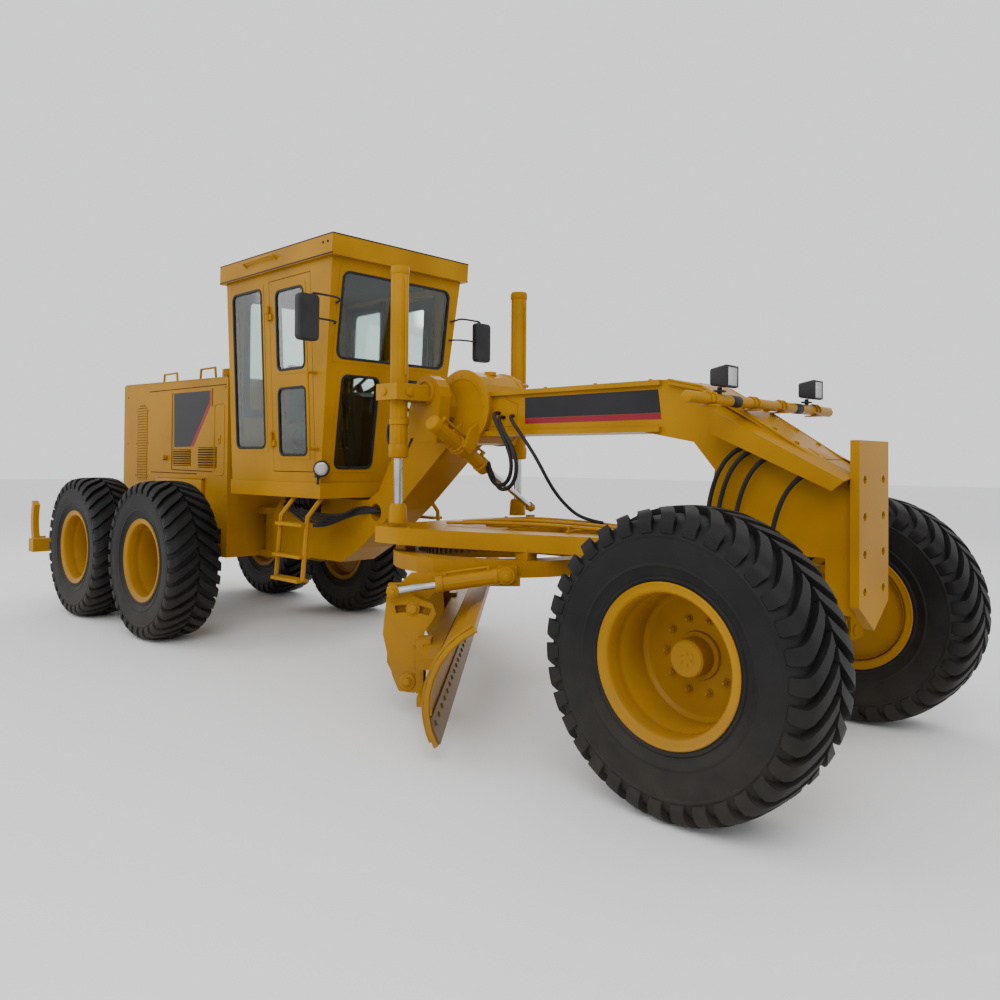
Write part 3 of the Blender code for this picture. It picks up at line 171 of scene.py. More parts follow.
yellow = mottled(new_material("yellow_enamel", (0.36, 0.175, 0.003), 0.36, 0.0, 0.08),
                 (0.36, 0.172, 0.0028),
                 (0.28, 0.130, 0.0018), 1.6, (0.20, 0.115, 0.035), 1.0, 0.2, 55.0, (0.24, 0.44))
black = mottled(new_material("black_enamel", (0.02, 0.02, 0.02), 0.5), (0.028, 0.028, 0.030),
                (0.014, 0.014, 0.015), 4.0, (0.10, 0.08, 0.06), 0.8, 0.3, 70.0, (0.40, 0.60))
rubber = mottled(new_material("tyre_rubber", (0.012, 0.012, 0.012), 0.7), (0.009, 0.0088, 0.0086),
                 (0.005, 0.0049, 0.0048), 7.0, (0.040, 0.031, 0.022), 0.8, 0.5, 90.0, (0.48, 0.72))
rod_steel = mottled(new_material("plated_rod", (0.4, 0.4, 0.4), 0.25, 1.0), (0.55, 0.55, 0.56),
                    (0.35, 0.34, 0.33), 5.0, None, 1.0, 0.1, 80.0, (0.18, 0.34))
cloth = mottled(new_material("seat_vinyl", (0.02, 0.02, 0.02), 0.7), (0.030, 0.030, 0.032),
                (0.018, 0.018, 0.020), 12.0, None, 1.0, 0.6, 200.0, (0.55, 0.75))
FINISH_OF_SLOT = {"yellow_paint": yellow, "black_paint": black, "tyre": rubber, "rod_steel": rod_steel,
                  "seat_cloth": cloth}
for piece in frame["record"]["subparts"]:
    node = frame["nodes"][piece["node"]]
    node.data.materials.clear()
    node.data.materials.append(FINISH_OF_SLOT[piece["material_slot"]])


# ------------------------------------------------------------------ stations and small makers
# Lengths along the machine are measured from the middle of its tandem.
# A piece is a bmesh that gets a finish and rides on one body of the frame.
pin = {joint["name"]: Vector(joint["pos_m"]) for joint in frame["record"]["behaviour"]["joints"]
       if "pos_m" in joint}
tandem_x = (pin["spin_tandem_left_front"].x + pin["spin_tandem_left_rear"].x) / 2
SIDES = {"right": -1, "left": 1}


def at(x, y, z):
    """A place, its length measured from the middle of the tandem."""
    return Vector((tandem_x + x, y, z))


def facing(place, direction):
    """The matrix that carries Z at the origin to a direction at a place."""
    turn = Vector(direction).to_track_quat("Z", "Y").to_matrix().to_4x4()
    return Matrix.Translation(place) @ turn


def piece_from(name, work, material, body, sharp=38):
    """Turns a bmesh into a piece that rides on a body, or on none when no body is given."""
    bmesh.ops.recalc_face_normals(work, faces=work.faces)
    mesh = bpy.data.meshes.new(name)
    work.to_mesh(mesh)
    work.free()
    mesh.materials.append(material)
    mesh.shade_smooth()
    mesh.set_sharp_from_angle(angle=math.radians(sharp))
    piece = bpy.data.objects.new(name, mesh)
    bpy.context.collection.objects.link(piece)
    if body:
        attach(piece, body)
    return piece


def bevelled(work, edges, width, segments=2):
    bmesh.ops.bevel(work, geom=list(edges), offset=width, offset_type="OFFSET", affect="EDGES",
                    segments=segments, profile=0.5, material=-1, clamp_overlap=True)


def edges_of(verts):
    return {edge for vert in verts for edge in vert.link_edges}


def add_block(work, low, high, width=0.004, matrix=None):
    """A block between two corners, its edges eased."""
    low, high = Vector(low), Vector(high)
    made = bmesh.ops.create_cube(work, size=1)["verts"]
    bmesh.ops.scale(work, vec=high - low, verts=made)
    bmesh.ops.translate(work, vec=(low + high) / 2, verts=made)
    if matrix:
        bmesh.ops.transform(work, matrix=matrix, verts=made)
    if width:
        bevelled(work, edges_of(made), width)


def add_bar(work, start, end, radius, sides=20, ease=0.0, tip=None):
    """A round bar between two places, or a cone where the tip's radius is given."""
    start, end = Vector(start), Vector(end)
    made = bmesh.ops.create_cone(work, cap_ends=True, segments=sides, radius1=radius,
                                 radius2=radius if tip is None else tip, depth=(end - start).length)["verts"]
    bmesh.ops.transform(work, matrix=facing((start + end) / 2, end - start), verts=made)
    if ease:
        bevelled(work, [e for e in edges_of(made) if len(e.link_faces) == 2 and e.calc_face_angle(0) > 0.7],
                 ease)


def add_bolt(work, place, direction, size):
    """A hexagon head on its washer."""
    place, direction = Vector(place), Vector(direction).normalized()
    add_bar(work, place - 0.2 * size * direction, place + 0.18 * size * direction, 1.25 * size, 16)
    add_bar(work, place, place + 0.75 * size * direction, size, 6, 0.12 * size)


def turned_piece(name, outline, matrix, material, body, steps=72, closed=True, sharp=38):
    """A turned piece of its own: an outline of (radius, height) points spun about an axis."""
    work = bmesh.new()
    ring = [work.verts.new((radius, 0, height)) for radius, height in outline]
    pairs = list(zip(ring, ring[1:]))
    if closed:
        pairs.append((ring[-1], ring[0]))
    edges = [work.edges.new(pair) for pair in pairs]
    bmesh.ops.spin(work, geom=ring + edges, cent=(0, 0, 0), axis=(0, 0, 1), angle=math.tau, steps=steps,
                   use_merge=True)
    bmesh.ops.remove_doubles(work, verts=work.verts, dist=1e-5)
    bmesh.ops.transform(work, matrix=matrix, verts=work.verts)
    return piece_from(name, work, material, body, sharp)


# ------------------------------------------------------------------ tyres
# Grader tyres with deep directional bars: each bar starts beside the crown's middle, bends back towards the
# shoulder and wraps down the sidewall. The carcass is one turned ring and the bars are bent blocks on it.
TYRE_CROWN = 0.640
BAR_COUNT = 34
BAR_SHARE = 0.66
wheel_turn = {"right": facing((0, 0, 0), (0, -1, 0)), "left": facing((0, 0, 0), (0, 1, 0))}
sidewall = [
    (0.322, 0.172), (0.352, 0.181), (0.366, 0.192), (0.374, 0.192), (0.380, 0.187), (0.42, 0.202),
    (0.424, 0.206), (0.432, 0.206), (0.436, 0.204), (0.48, 0.2125), (0.53, 0.2145), (0.545, 0.2145),
    (0.548, 0.2165), (0.556, 0.2165), (0.560, 0.213), (0.590, 0.206), (0.614, 0.190), (0.630, 0.160),
    (0.637, 0.10), (TYRE_CROWN, 0.04),
]
carcass_outline = sidewall + [(radius, -out) for radius, out in reversed(sidewall)]
bar_path = [(0.674, 0.006), (0.674, 0.05), (0.672, 0.10), (0.667, 0.15), (0.657, 0.185), (0.640, 0.207),
            (0.612, 0.2195), (0.585, 0.2205), (0.566, 0.2165)]
bar_root = [(0.625, 0.004), (0.625, 0.05), (0.622, 0.10), (0.615, 0.14), (0.600, 0.165), (0.585, 0.185),
            (0.575, 0.200), (0.565, 0.205), (0.560, 0.209)]


def bar_sweep(share):
    """How far a bar is turned forward at a share of its way from the crown to its end, in radians."""
    return 0.235 * (1 - min(share / 0.62, 1)) ** 1.35


def add_tread_bar(work, turn, hand):
    """One tread bar: a strip of faces bent over the shoulder and given its depth."""
    last = len(bar_path) - 1
    made = bmesh.ops.create_grid(work, x_segments=last, y_segments=2, size=0.5)["verts"]
    faces = {face for vert in made for face in vert.link_faces}
    deep = bmesh.ops.extrude_face_region(work, geom=list(faces))["geom"]
    deep = {item for item in deep if isinstance(item, bmesh.types.BMVert)}
    for vert in list(made) + list(deep):
        step = round((vert.co.x + 0.5) * last)
        share = step / last
        top = vert in deep
        radius, out = (bar_path if top else bar_root)[step]
        pitch = math.tau / BAR_COUNT
        broad = BAR_SHARE * (0.72 + 0.28 * min(share / 0.5, 1)) * (0.90 if top else 1.0)
        if step == last and top:
            broad *= 0.8
        angle = turn + bar_sweep(share) + vert.co.y * pitch * broad
        vert.co = (radius * math.cos(angle), radius * math.sin(angle), hand * out)


carcass = bmesh.new()
ring = [carcass.verts.new((radius, 0, out)) for radius, out in carcass_outline]
edges = [carcass.edges.new(pair) for pair in zip(ring, ring[1:] + ring[:1])]
bmesh.ops.spin(carcass, geom=ring + edges, cent=(0, 0, 0), axis=(0, 0, 1), angle=math.tau, steps=96,
               use_merge=True)
for number in range(BAR_COUNT):
    for hand in (-1, 1):
        add_tread_bar(carcass, (number + 0.25 * hand) * math.tau / BAR_COUNT, hand)
bmesh.ops.recalc_face_normals(carcass, faces=carcass.faces)
tyre_mesh = bpy.data.meshes.new("tyre")
carcass.to_mesh(tyre_mesh)
carcass.free()

# ------------------------------------------------------------------ rims
# Pressed steel rims: a rolled flange and lock ring, a deep barrel, and a dished disc bolted to the hub
# with ten studs. The front hubs stand further out and end in a small cover with five screws.
STUD_COUNT = 10
STUD_CIRCLE = 0.165
DISC_OUT = -0.10
flange = [
    (0.304, 0.150), (0.306, 0.172), (0.312, 0.181), (0.322, 0.186), (0.334, 0.186), (0.342, 0.190),
    (0.350, 0.194), (0.3545, 0.190), (0.3545, 0.183), (0.344, 0.1785), (0.3205, 0.176),
]
inner_flange = [(radius, -out) for radius, out in reversed(flange)]
for label in [name[5:] for name in frame["nodes"] if name.startswith("tyre_")]:
    side = "left" if "left" in label else "right"
    body = "wheel_" + label
    centre = (Vector(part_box("tyre_" + label)[0]) + Vector(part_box("tyre_" + label)[1])) / 2
    turn = Matrix.Translation(centre) @ wheel_turn[side]
    if side == "left":
        turn = turn @ Matrix.Rotation(math.pi, 4, "Y") @ Matrix.Diagonal((1, 1, -1, 1))
    tyre = bmesh.new()
    tyre.from_mesh(tyre_mesh)
    bmesh.ops.transform(tyre, matrix=turn, verts=tyre.verts)
    if turn.determinant() < 0:
        bmesh.ops.reverse_faces(tyre, faces=tyre.faces)
    shown = piece_from("tread_" + label, tyre, rubber, body, 32)
    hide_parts("tyre_" + label)

    front = label.startswith("front")
    reach = 0.12 if front else 0.05
    hub = 0.084 if front else 0.10
    place = Matrix.Translation(centre) @ wheel_turn[side]
    profile = flange + inner_flange + [
        (0.298, -0.176), (0.292, -0.150), (0.290, DISC_OUT - 0.022), (0.0, DISC_OUT - 0.022),
        (0.0, DISC_OUT + reach), (hub - 0.008, DISC_OUT + reach), (hub, DISC_OUT + reach - 0.008),
        (hub + 0.004, DISC_OUT + 0.030), (hub + 0.022, DISC_OUT + 0.022), (hub + 0.026, DISC_OUT + 0.006),
        (0.205, DISC_OUT + 0.004), (0.245, DISC_OUT - 0.004), (0.272, DISC_OUT - 0.002),
        (0.280, DISC_OUT + 0.004), (0.288, DISC_OUT + 0.010), (0.292, DISC_OUT + 0.016), (0.292, 0.060),
        (0.300, 0.075), (0.303, 0.095), (0.300, 0.110), (0.302, 0.135),
    ]
    rim = turned_piece("wheel_rim_" + label, profile, place, yellow, body, 96, True, 30)
    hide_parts("rim_" + label)
    studs = bmesh.new()
    for number in range(STUD_COUNT):
        angle = math.tau * number / STUD_COUNT
        spot = Vector((STUD_CIRCLE * math.cos(angle), STUD_CIRCLE * math.sin(angle), DISC_OUT + 0.005))
        add_bar(studs, spot, spot + Vector((0, 0, 0.005)), 0.019, 18)
        add_bar(studs, spot, spot + Vector((0, 0, 0.020)), 0.0145, 6, 0.002)
        add_bar(studs, spot, spot + Vector((0, 0, 0.031)), 0.008, 12, 0.0015)
    cover = DISC_OUT + reach
    add_bar(studs, (0, 0, cover - 0.002), (0, 0, cover + 0.001), 0.5 * hub, 32)
    for number in range(5):
        angle = math.tau * number / 5
        spot = Vector((0.3 * hub * math.cos(angle), 0.3 * hub * math.sin(angle), cover - 0.001))
        add_bar(studs, spot, spot + Vector((0, 0, 0.0055 if front else 0.004)), 0.0065, 6, 0.001)
    add_bar(studs, (0.255, 0.02, DISC_OUT), (0.268, 0.02, DISC_OUT + 0.045), 0.006, 10)
    bmesh.ops.transform(studs, matrix=place, verts=studs.verts)
    piece_from("wheel_studs_" + label, studs, yellow, body)


# ------------------------------------------------------------------ cab windows
# Flat panes in black rubber seals with rounded corners, set in the pressed surrounds of the cab walls and
# doors. Inside, black trim covers the steel round each opening.
WALL = 0.05
CAB_SIDE_LEAN = math.atan2(0.075, 1.69)
CAB_FRONT_LEAN = math.atan2(0.233, 1.69)
seal_rubber = mottled(new_material("seal_rubber", (0.012, 0.012, 0.013), 0.6), (0.016, 0.016, 0.017),
                      (0.010, 0.010, 0.010), 9.0, None, 1.0, 0.3, 120.0, (0.45, 0.65))
trim_black = mottled(new_material("cab_trim", (0.02, 0.02, 0.02), 0.8), (0.030, 0.029, 0.028),
                     (0.018, 0.018, 0.018), 6.0, None, 1.0, 0.5, 160.0, (0.65, 0.85))
glass = new_material("window_glass", (0.72, 0.84, 0.80), 0.03, 0.0, 0.5)
glass_shader = glass.node_tree.nodes["Principled BSDF"]
glass_shader.inputs["Transmission Weight"].default_value = 1.0
glass_shader.inputs["IOR"].default_value = 1.45
smear = glass.node_tree.nodes.new("ShaderNodeTexNoise")
smear.inputs["Scale"].default_value = 5.0
smear.inputs["Detail"].default_value = 5.0
film = glass.node_tree.nodes.new("ShaderNodeMapRange")
film.inputs["To Min"].default_value = 0.01
film.inputs["To Max"].default_value = 0.10
glass.node_tree.links.new(glass.node_tree.nodes.new("ShaderNodeTexCoord").outputs["Object"],
                          smear.inputs["Vector"])
glass.node_tree.links.new(smear.outputs["Fac"], film.inputs["Value"])
glass.node_tree.links.new(film.outputs["Result"], glass_shader.inputs["Roughness"])


def cab_side(side, x, z):
    """The frame of a side wall at a place on its outer face: along, up, out."""
    half = 0.575 + (z - 1.36) * math.tan(CAB_SIDE_LEAN)
    along = Vector((-side, 0, 0))
    up = Vector((0, side * math.sin(CAB_SIDE_LEAN), math.cos(CAB_SIDE_LEAN)))
    return wall_frame(at(x, side * half, z), along, up)


def cab_front_wall(y, z):
    up = Vector((math.sin(CAB_FRONT_LEAN), 0, math.cos(CAB_FRONT_LEAN)))
    return wall_frame(at(2.46 + (z - 1.36) * math.tan(CAB_FRONT_LEAN), y, z), Vector((0, 1, 0)), up)


def wall_frame(origin, along, up):
    turn = Matrix((along, up, along.cross(up))).transposed().to_4x4()
    return Matrix.Translation(origin) @ turn


def rounded_face(work, width, height, corner):
    """A flat face with rounded corners."""
    made = bmesh.ops.create_grid(work, x_segments=1, y_segments=1, size=0.5)["verts"]
    bmesh.ops.scale(work, vec=(width, height, 1), verts=made)
    face = made[0].link_faces[0]
    if corner:
        bmesh.ops.bevel(work, geom=list(made), offset=corner, offset_type="OFFSET", affect="VERTICES",
                        segments=6,
                        profile=0.5, material=-1)
        face = max((f for f in work.faces if abs(f.calc_center_median().z) < 1e-6), key=lambda f: f.index)
    return face


def ring_piece(name, outer, inner, low, high, matrix, material, body, ease=0.0):
    """A flat ring from low to high between two rounded rectangles, each (width, height, corner)."""
    work = bmesh.new()
    for size in (outer, inner):
        rounded_face(work, *size)
    bmesh.ops.delete(work, geom=list(work.faces), context="FACES_ONLY")
    bmesh.ops.triangle_fill(work, use_beauty=True, edges=list(work.edges))
    half_width, half_height = inner[0] / 2, inner[1] / 2
    inside = [f for f in work.faces if all(
        abs(v.co.x) <= half_width + 1e-5 and abs(v.co.y) <= half_height + 1e-5 for v in f.verts)]
    bmesh.ops.delete(work, geom=inside, context="FACES_ONLY")
    bmesh.ops.translate(work, vec=(0, 0, low), verts=work.verts)
    up = bmesh.ops.extrude_face_region(work, geom=list(work.faces))["geom"]
    bmesh.ops.translate(work, vec=(0, 0, high - low),
                        verts=[v for v in up if isinstance(v, bmesh.types.BMVert)])
    bmesh.ops.recalc_face_normals(work, faces=work.faces)
    if ease:
        bevelled(work, [e for e in work.edges if len(e.link_faces) == 2 and e.calc_face_angle(0) > 1.2],
                 ease, 2)
    bmesh.ops.transform(work, matrix=matrix, verts=work.verts)
    return piece_from(name, work, material, body)


def pane(name, width, height, corner, low, high, matrix, material, body):
    work = bmesh.new()
    rounded_face(work, width, height, corner)
    bmesh.ops.translate(work, vec=(0, 0, low), verts=work.verts)
    up = bmesh.ops.extrude_face_region(work, geom=list(work.faces))["geom"]
    bmesh.ops.translate(work, vec=(0, 0, high - low),
                        verts=[v for v in up if isinstance(v, bmesh.types.BMVert)])
    bmesh.ops.transform(work, matrix=matrix, verts=work.verts)
    return piece_from(name, work, material, body)


def fit_window(name, matrix, width, height, body, corner=0.06, lap=0.02, trim=0.045):
    """Surround, seal, pane and inner trim of one opening."""
    sight = (width - 0.010, height - 0.010, corner)
    ring_piece(f"surround_{name}", (width + 2 * lap, height + 2 * lap, 0.0), sight, 0.0006, 0.0035,
                       matrix,
                       yellow, body)
    seal_in = (width - 0.052, height - 0.052, corner - 0.018)
    ring_piece(f"seal_{name}", (width - 0.0105, height - 0.0105, corner), seal_in, -0.016, 0.009,
                       matrix,
                       seal_rubber, body, 0.004)
    pane(f"glass_{name}", width - 0.050, height - 0.050, corner - 0.017, -0.006, -0.002, matrix, glass,
         body)
    ring_piece(f"trim_{name}", (width + 2 * trim, height + 2 * trim, 0.0),
               (width - 0.03, height - 0.03, corner),
               -WALL - 0.003, -WALL - 0.0008, matrix, trim_black, body)


for side_name, side in SIDES.items():
    door = "door_" + side_name
    fit_window(f"rear_side_{side_name}", cab_side(side, 1.455, 2.285), 0.49, 1.332, "front_frame")
    fit_window(f"door_upper_{side_name}", cab_side(side, 2.10, 2.57), 0.42, 0.662, door)
    fit_window(f"door_lower_{side_name}", cab_side(side, 2.10, 1.84), 0.42, 0.562, door)
    fit_window(f"front_lower_{side_name}", cab_front_wall(side * 0.29, 1.83), 0.38, 0.747, "front_frame")
fit_window("windscreen", cab_front_wall(0, 2.635), 1.10, 0.677, "front_frame", 0.07)
fit_window("rear", wall_frame(at(1.12, 0, 2.45), Vector((0, -1, 0)), Vector((0, 0, 1))), 0.92, 1.0,
           "front_frame", 0.07)

# ------------------------------------------------------------------ cab trim, rails and lamps
# A drip rail and dark edge strip run round the roof. Grab tubes stand beside the doors, and a work lamp looks
# ahead from each lower front corner. The headlining and floor mat are black.
cab_bits = bmesh.new()
roof_low, roof_high = (Vector(corner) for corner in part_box("cab_roof"))
for side in SIDES.values():
    y = side * roof_high.y
    near, far = sorted((y - side * 0.006, y + side * 0.002))
    add_block(cab_bits, (roof_low.x - 0.002, near, roof_low.z + 0.004),
              (roof_high.x - 0.006, far, roof_low.z + 0.016), 0.002)
    add_block(cab_bits, (roof_low.x, near, roof_high.z - 0.010), (roof_high.x, far, roof_high.z - 0.001),
              0.002)
add_block(cab_bits, (roof_high.x - 0.006, roof_low.y, roof_high.z - 0.010),
          (roof_high.x + 0.003, roof_high.y, roof_high.z - 0.001), 0.002)
add_block(cab_bits, (roof_low.x - 0.003, roof_low.y, roof_high.z - 0.010),
          (roof_low.x + 0.006, roof_high.y, roof_high.z - 0.001), 0.002)
for side in SIDES.values():
    for x in (2.69, 2.63):
        add_bolt(cab_bits, at(x, side * 0.689, 3.15), (0, side, 0), 0.008)
piece_from("roof_edge", cab_bits, seal_rubber, "front_frame")

lining = bmesh.new()
add_block(lining, at(1.18, -0.585, 3.035), at(2.60, 0.585, 3.047), 0.003)
add_block(lining, at(1.19, -0.51, 1.3605), at(2.40, 0.51, 1.372), 0.003)
for side in SIDES.values():
    for x, top in ((1.745, 3.0), (2.42, 2.95)):
        near, far = sorted((side * 0.555, side * 0.568))
        add_block(lining, at(x - 0.03, near, 2.2), at(x + 0.03, far, top), 0.003)
piece_from("headlining", lining, trim_black, "front_frame")


def bent_tube(name, points, radius, material, body, order=3, rings=3):
    """A smooth tube through bends: a curve whose ends stay on its first and last points."""
    curve = bpy.data.curves.new(name, "CURVE")
    curve.dimensions = "3D"
    curve.bevel_depth = radius
    curve.bevel_resolution = rings
    curve.resolution_u = 8
    curve.use_fill_caps = True
    spline = curve.splines.new("NURBS")
    spline.points.add(len(points) - 1)
    for point, place in zip(spline.points, points):
        point.co = (*place, 1)
    spline.order_u = min(order, len(points))
    spline.use_endpoint_u = True
    source = bpy.data.objects.new(name, curve)
    bpy.context.collection.objects.link(source)
    bpy.context.view_layer.update()
    mesh = bpy.data.meshes.new_from_object(source.evaluated_get(bpy.context.evaluated_depsgraph_get()))
    bpy.data.objects.remove(source)
    work = bmesh.new()
    work.from_mesh(mesh)
    bmesh.ops.remove_doubles(work, verts=work.verts, dist=1e-5)
    return piece_from(name, work, material, body, 45)


def rail_points(start, end, out, bend=0.03):
    """A grab rail's bends: out from its start, along, and back to its end."""
    start, end, out = Vector(start), Vector(end), Vector(out)
    along = (end - start).normalized() * bend
    lift = out - out.normalized() * bend
    return [start, start + lift, start + out, start + out + along, end + out - along, end + out, end + lift,
            end]


for side_name, side in SIDES.items():
    bent_tube(f"grab_tube_{side_name}", rail_points(at(2.435, side * 0.588, 1.62),
            at(2.435, side * 0.612, 2.20),
              (0, side * 0.075, 0)), 0.0125, yellow, "front_frame")
    bent_tube(f"roof_rail_{side_name}", rail_points(at(1.52, side * 0.686, 3.13),
            at(1.98, side * 0.686, 3.13),
              (0, side * 0.035, 0.03), 0.02), 0.010, yellow, "front_frame")
    lamp_at = at(2.50, side * 0.60, 1.47)
    shell = [(0.0, -0.055), (0.030, -0.053), (0.050, -0.030), (0.060, 0.0), (0.064, 0.020), (0.060, 0.022),
             (0.057, 0.008), (0.0, 0.004)]
    turned_piece(f"corner_lamp_{side_name}", shell, facing(lamp_at, (1, side * 0.35, -0.05)), black,
                         "front_frame", 32, False)
    bracket = bmesh.new()
    add_block(bracket, at(2.44, side * 0.60 - 0.02, 1.40), at(2.475, side * 0.60 + 0.02, 1.45), 0.004)
    add_bar(bracket, at(2.455, side * 0.60, 1.35), at(2.47, side * 0.60, 1.43), 0.009, 12)
    piece_from(f"corner_lamp_foot_{side_name}", bracket, black, "front_frame")

# ------------------------------------------------------------------ mirrors
# Rounded black heads on bent tube arms, with a silvered pane that looks back.
silver = mottled(new_material("mirror_silver", (0.75, 0.77, 0.78), 0.05, 1.0), (0.78, 0.80, 0.81),
                 (0.72, 0.74, 0.75),
                 2.0, None, 1.0, 0.0, 60.0, (0.03, 0.08))
HEAD_X, HEAD_Y, HEAD_Z = 2.728, 0.880, 2.560
for side_name, side in SIDES.items():
    head_shell = bmesh.new()
    corners = bmesh.ops.create_cube(head_shell, size=1.0)["verts"]
    bmesh.ops.scale(head_shell, vec=(0.056, 0.176, 0.336), verts=corners)
    along_x = [edge for edge in edges_of(corners)
               if abs((edge.verts[0].co - edge.verts[1].co).x) > 0.01]
    bevelled(head_shell, along_x, 0.034, 6)
    outer = [edge for edge in head_shell.edges if edge.calc_face_angle(0) > 1.2 and edge.verts[0].co.x > 0]
    bevelled(head_shell, outer, 0.016, 3)
    bmesh.ops.transform(head_shell, matrix=Matrix.Translation(at(HEAD_X, side * HEAD_Y, HEAD_Z)),
                        verts=head_shell.verts)
    head_piece = piece_from(f"mirror_head_{side_name}", head_shell, black, "front_frame")
    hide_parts(f"mirror_{side_name}")
    pane(f"mirror_glass_{side_name}", 0.150, 0.310, 0.026, 0.0004, 0.002,
         wall_frame(at(HEAD_X - 0.028, side * HEAD_Y, HEAD_Z), Vector((0, -1, 0)),
                    Vector((0, 0, 1))), silver,
         "front_frame")
    bent_tube(f"mirror_arm_{side_name}", [at(2.651, side * 0.582, 2.715),
            at(2.712, side * 0.582, 2.717),
            at(2.735, side * 0.62, 2.738), at(2.735, side * 0.80, 2.738), at(2.735, side * 0.85, 2.738),
            at(2.735, side * 0.865, 2.70)], 0.0085, black, "front_frame")
    bent_tube(f"mirror_brace_{side_name}",
                      [at(2.632, side * 0.585, 2.56), at(2.70, side * 0.60, 2.56),
            at(2.735, side * 0.70, 2.56), at(2.735, side * 0.80,
                    2.56)], 0.0075, black, "front_frame")

# ------------------------------------------------------------------ lamp lenses
# Clear fluted glass over a bright reflector.
lens = new_material("lamp_lens", (0.55, 0.56, 0.54), 0.12, 0.0, 0.5)
lens_nodes = lens.node_tree.nodes
flutes = lens_nodes.new("ShaderNodeTexWave")
flutes.inputs["Scale"].default_value = 60.0
flutes.bands_direction = "Y"
flute_relief = lens_nodes.new("ShaderNodeBump")
flute_relief.inputs["Strength"].default_value = 0.5
flute_relief.inputs["Distance"].default_value = 0.002
lens.node_tree.links.new(lens_nodes.new("ShaderNodeTexCoord").outputs["Object"], flutes.inputs["Vector"])
lens.node_tree.links.new(flutes.outputs["Fac"], flute_relief.inputs["Height"])
lens.node_tree.links.new(flute_relief.outputs["Normal"], lens_nodes["Principled BSDF"].inputs["Normal"])
lens_nodes["Principled BSDF"].inputs["Metallic"].default_value = 0.55
for side_name, side in SIDES.items():
    turned_piece(f"corner_lens_{side_name}", [(0.0, 0.016), (0.03, 0.014), (0.05, 0.009), (0.0565, 0.004)],
                 facing(at(2.50, side * 0.60, 1.47),
                        (1, side * 0.35, -0.05)), lens, "front_frame", 32, False)

# ------------------------------------------------------------------ operator's place
# A black vinyl bench seat with a rounded cushion and backrest, and a row of levers with round knobs on
# each side of the steering column.
seat_low, seat_high = (Vector(corner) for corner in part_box("operator_seat"))


def cushion(name, low, high, round_off):
    """A padded block: coarse cage, rounded, blown up a little by cloth, then smoothed."""
    work = bmesh.new()
    add_block(work, low, high, round_off)
    bmesh.ops.subdivide_edges(work, edges=list(work.edges), cuts=3, use_grid_fill=True)
    pad = piece_from(name, work, cloth, "front_frame", 180)
    remesh = pad.modifiers.new("remesh", "REMESH")
    remesh.mode = "VOXEL"
    remesh.voxel_size = 0.012
    swell = pad.modifiers.new("swell", "CLOTH")
    swell.settings.use_pressure = True
    swell.settings.uniform_pressure_force = 4
    swell.settings.effector_weights.gravity = 0
    for step in range(1, 13):
        bpy.context.scene.frame_set(step)
    bpy.context.view_layer.update()
    puffed = bpy.data.meshes.new_from_object(pad.evaluated_get(bpy.context.evaluated_depsgraph_get()))
    pad.modifiers.clear()
    bpy.context.scene.frame_set(1)
    low, high = Vector(low) - Vector((0.02,) * 3), Vector(high) + Vector((0.02,) * 3)
    for vert in puffed.vertices:
        for axis in range(3):
            vert.co[axis] = min(max(vert.co[axis], low[axis]), high[axis])
    puffed.materials.clear()
    puffed.materials.append(cloth)
    puffed.shade_smooth()
    pad.data = puffed
    smooth = pad.modifiers.new("smooth", "SMOOTH")
    smooth.factor = 0.5
    smooth.iterations = 6
    return pad


base = cushion("seat_cushion", (seat_low.x + 0.13, seat_low.y + 0.03, seat_high.z - 0.76),
               (seat_high.x - 0.03, seat_high.y - 0.03, seat_high.z - 0.62), 0.03)
back = cushion("seat_backrest", (seat_low.x + 0.02, seat_low.y + 0.03, seat_high.z - 0.58),
               (seat_low.x + 0.12, seat_high.y - 0.03, seat_high.z - 0.03), 0.03)
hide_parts("operator_seat")
seat_box = bmesh.new()
add_block(seat_box, (seat_low.x + 0.13, seat_low.y + 0.06, seat_low.z),
          (seat_high.x - 0.06, seat_high.y - 0.06, seat_high.z - 0.78), 0.01)
add_block(seat_box, (seat_low.x + 0.03, -0.05, seat_low.z + 0.25),
          (seat_low.x + 0.15, 0.05, seat_low.z + 0.50), 0.01)
piece_from("seat_stand", seat_box, black, "front_frame")
levers = bmesh.new()
for side in SIDES.values():
    for number in range(5):
        y = side * (0.17 + 0.045 * number)
        add_bar(levers, at(2.36, y, 1.39), at(2.28, y, 2.12 + 0.01 * number), 0.007, 10)
        add_bar(levers, at(2.28, y, 2.11 + 0.01 * number), at(2.276, y, 2.155 + 0.01 * number), 0.014, 14,
                0.005)
        add_block(levers, at(2.33, y - 0.014, 1.373), at(2.39, y + 0.014, 1.42), 0.003)
piece_from("control_levers", levers, black, "front_frame")


# ------------------------------------------------------------------ decals
# Charcoal panels with a crimson stripe: a slanted one on each side of the hood and a long one on the beam.
charcoal = mottled(new_material("decal_charcoal", (0.02, 0.018, 0.022), 0.4), (0.014, 0.013, 0.016),
                   (0.010, 0.009, 0.011), 3.0, None, 1.0, 0.1, 60.0, (0.30, 0.45))
crimson = mottled(new_material("decal_crimson", (0.30, 0.012, 0.03), 0.4), (0.22, 0.008, 0.020),
                  (0.17, 0.006, 0.015), 3.0, None, 1.0, 0.1, 60.0, (0.30, 0.45))
HOOD_SIDE = 0.45
LOUVRES = ((-0.30, 0.07, 1.47, 1.63, 7), (0.23, 0.585, 1.455, 1.65, 8))
BEAM_SIDE = 0.14
DECAL = 0.0012


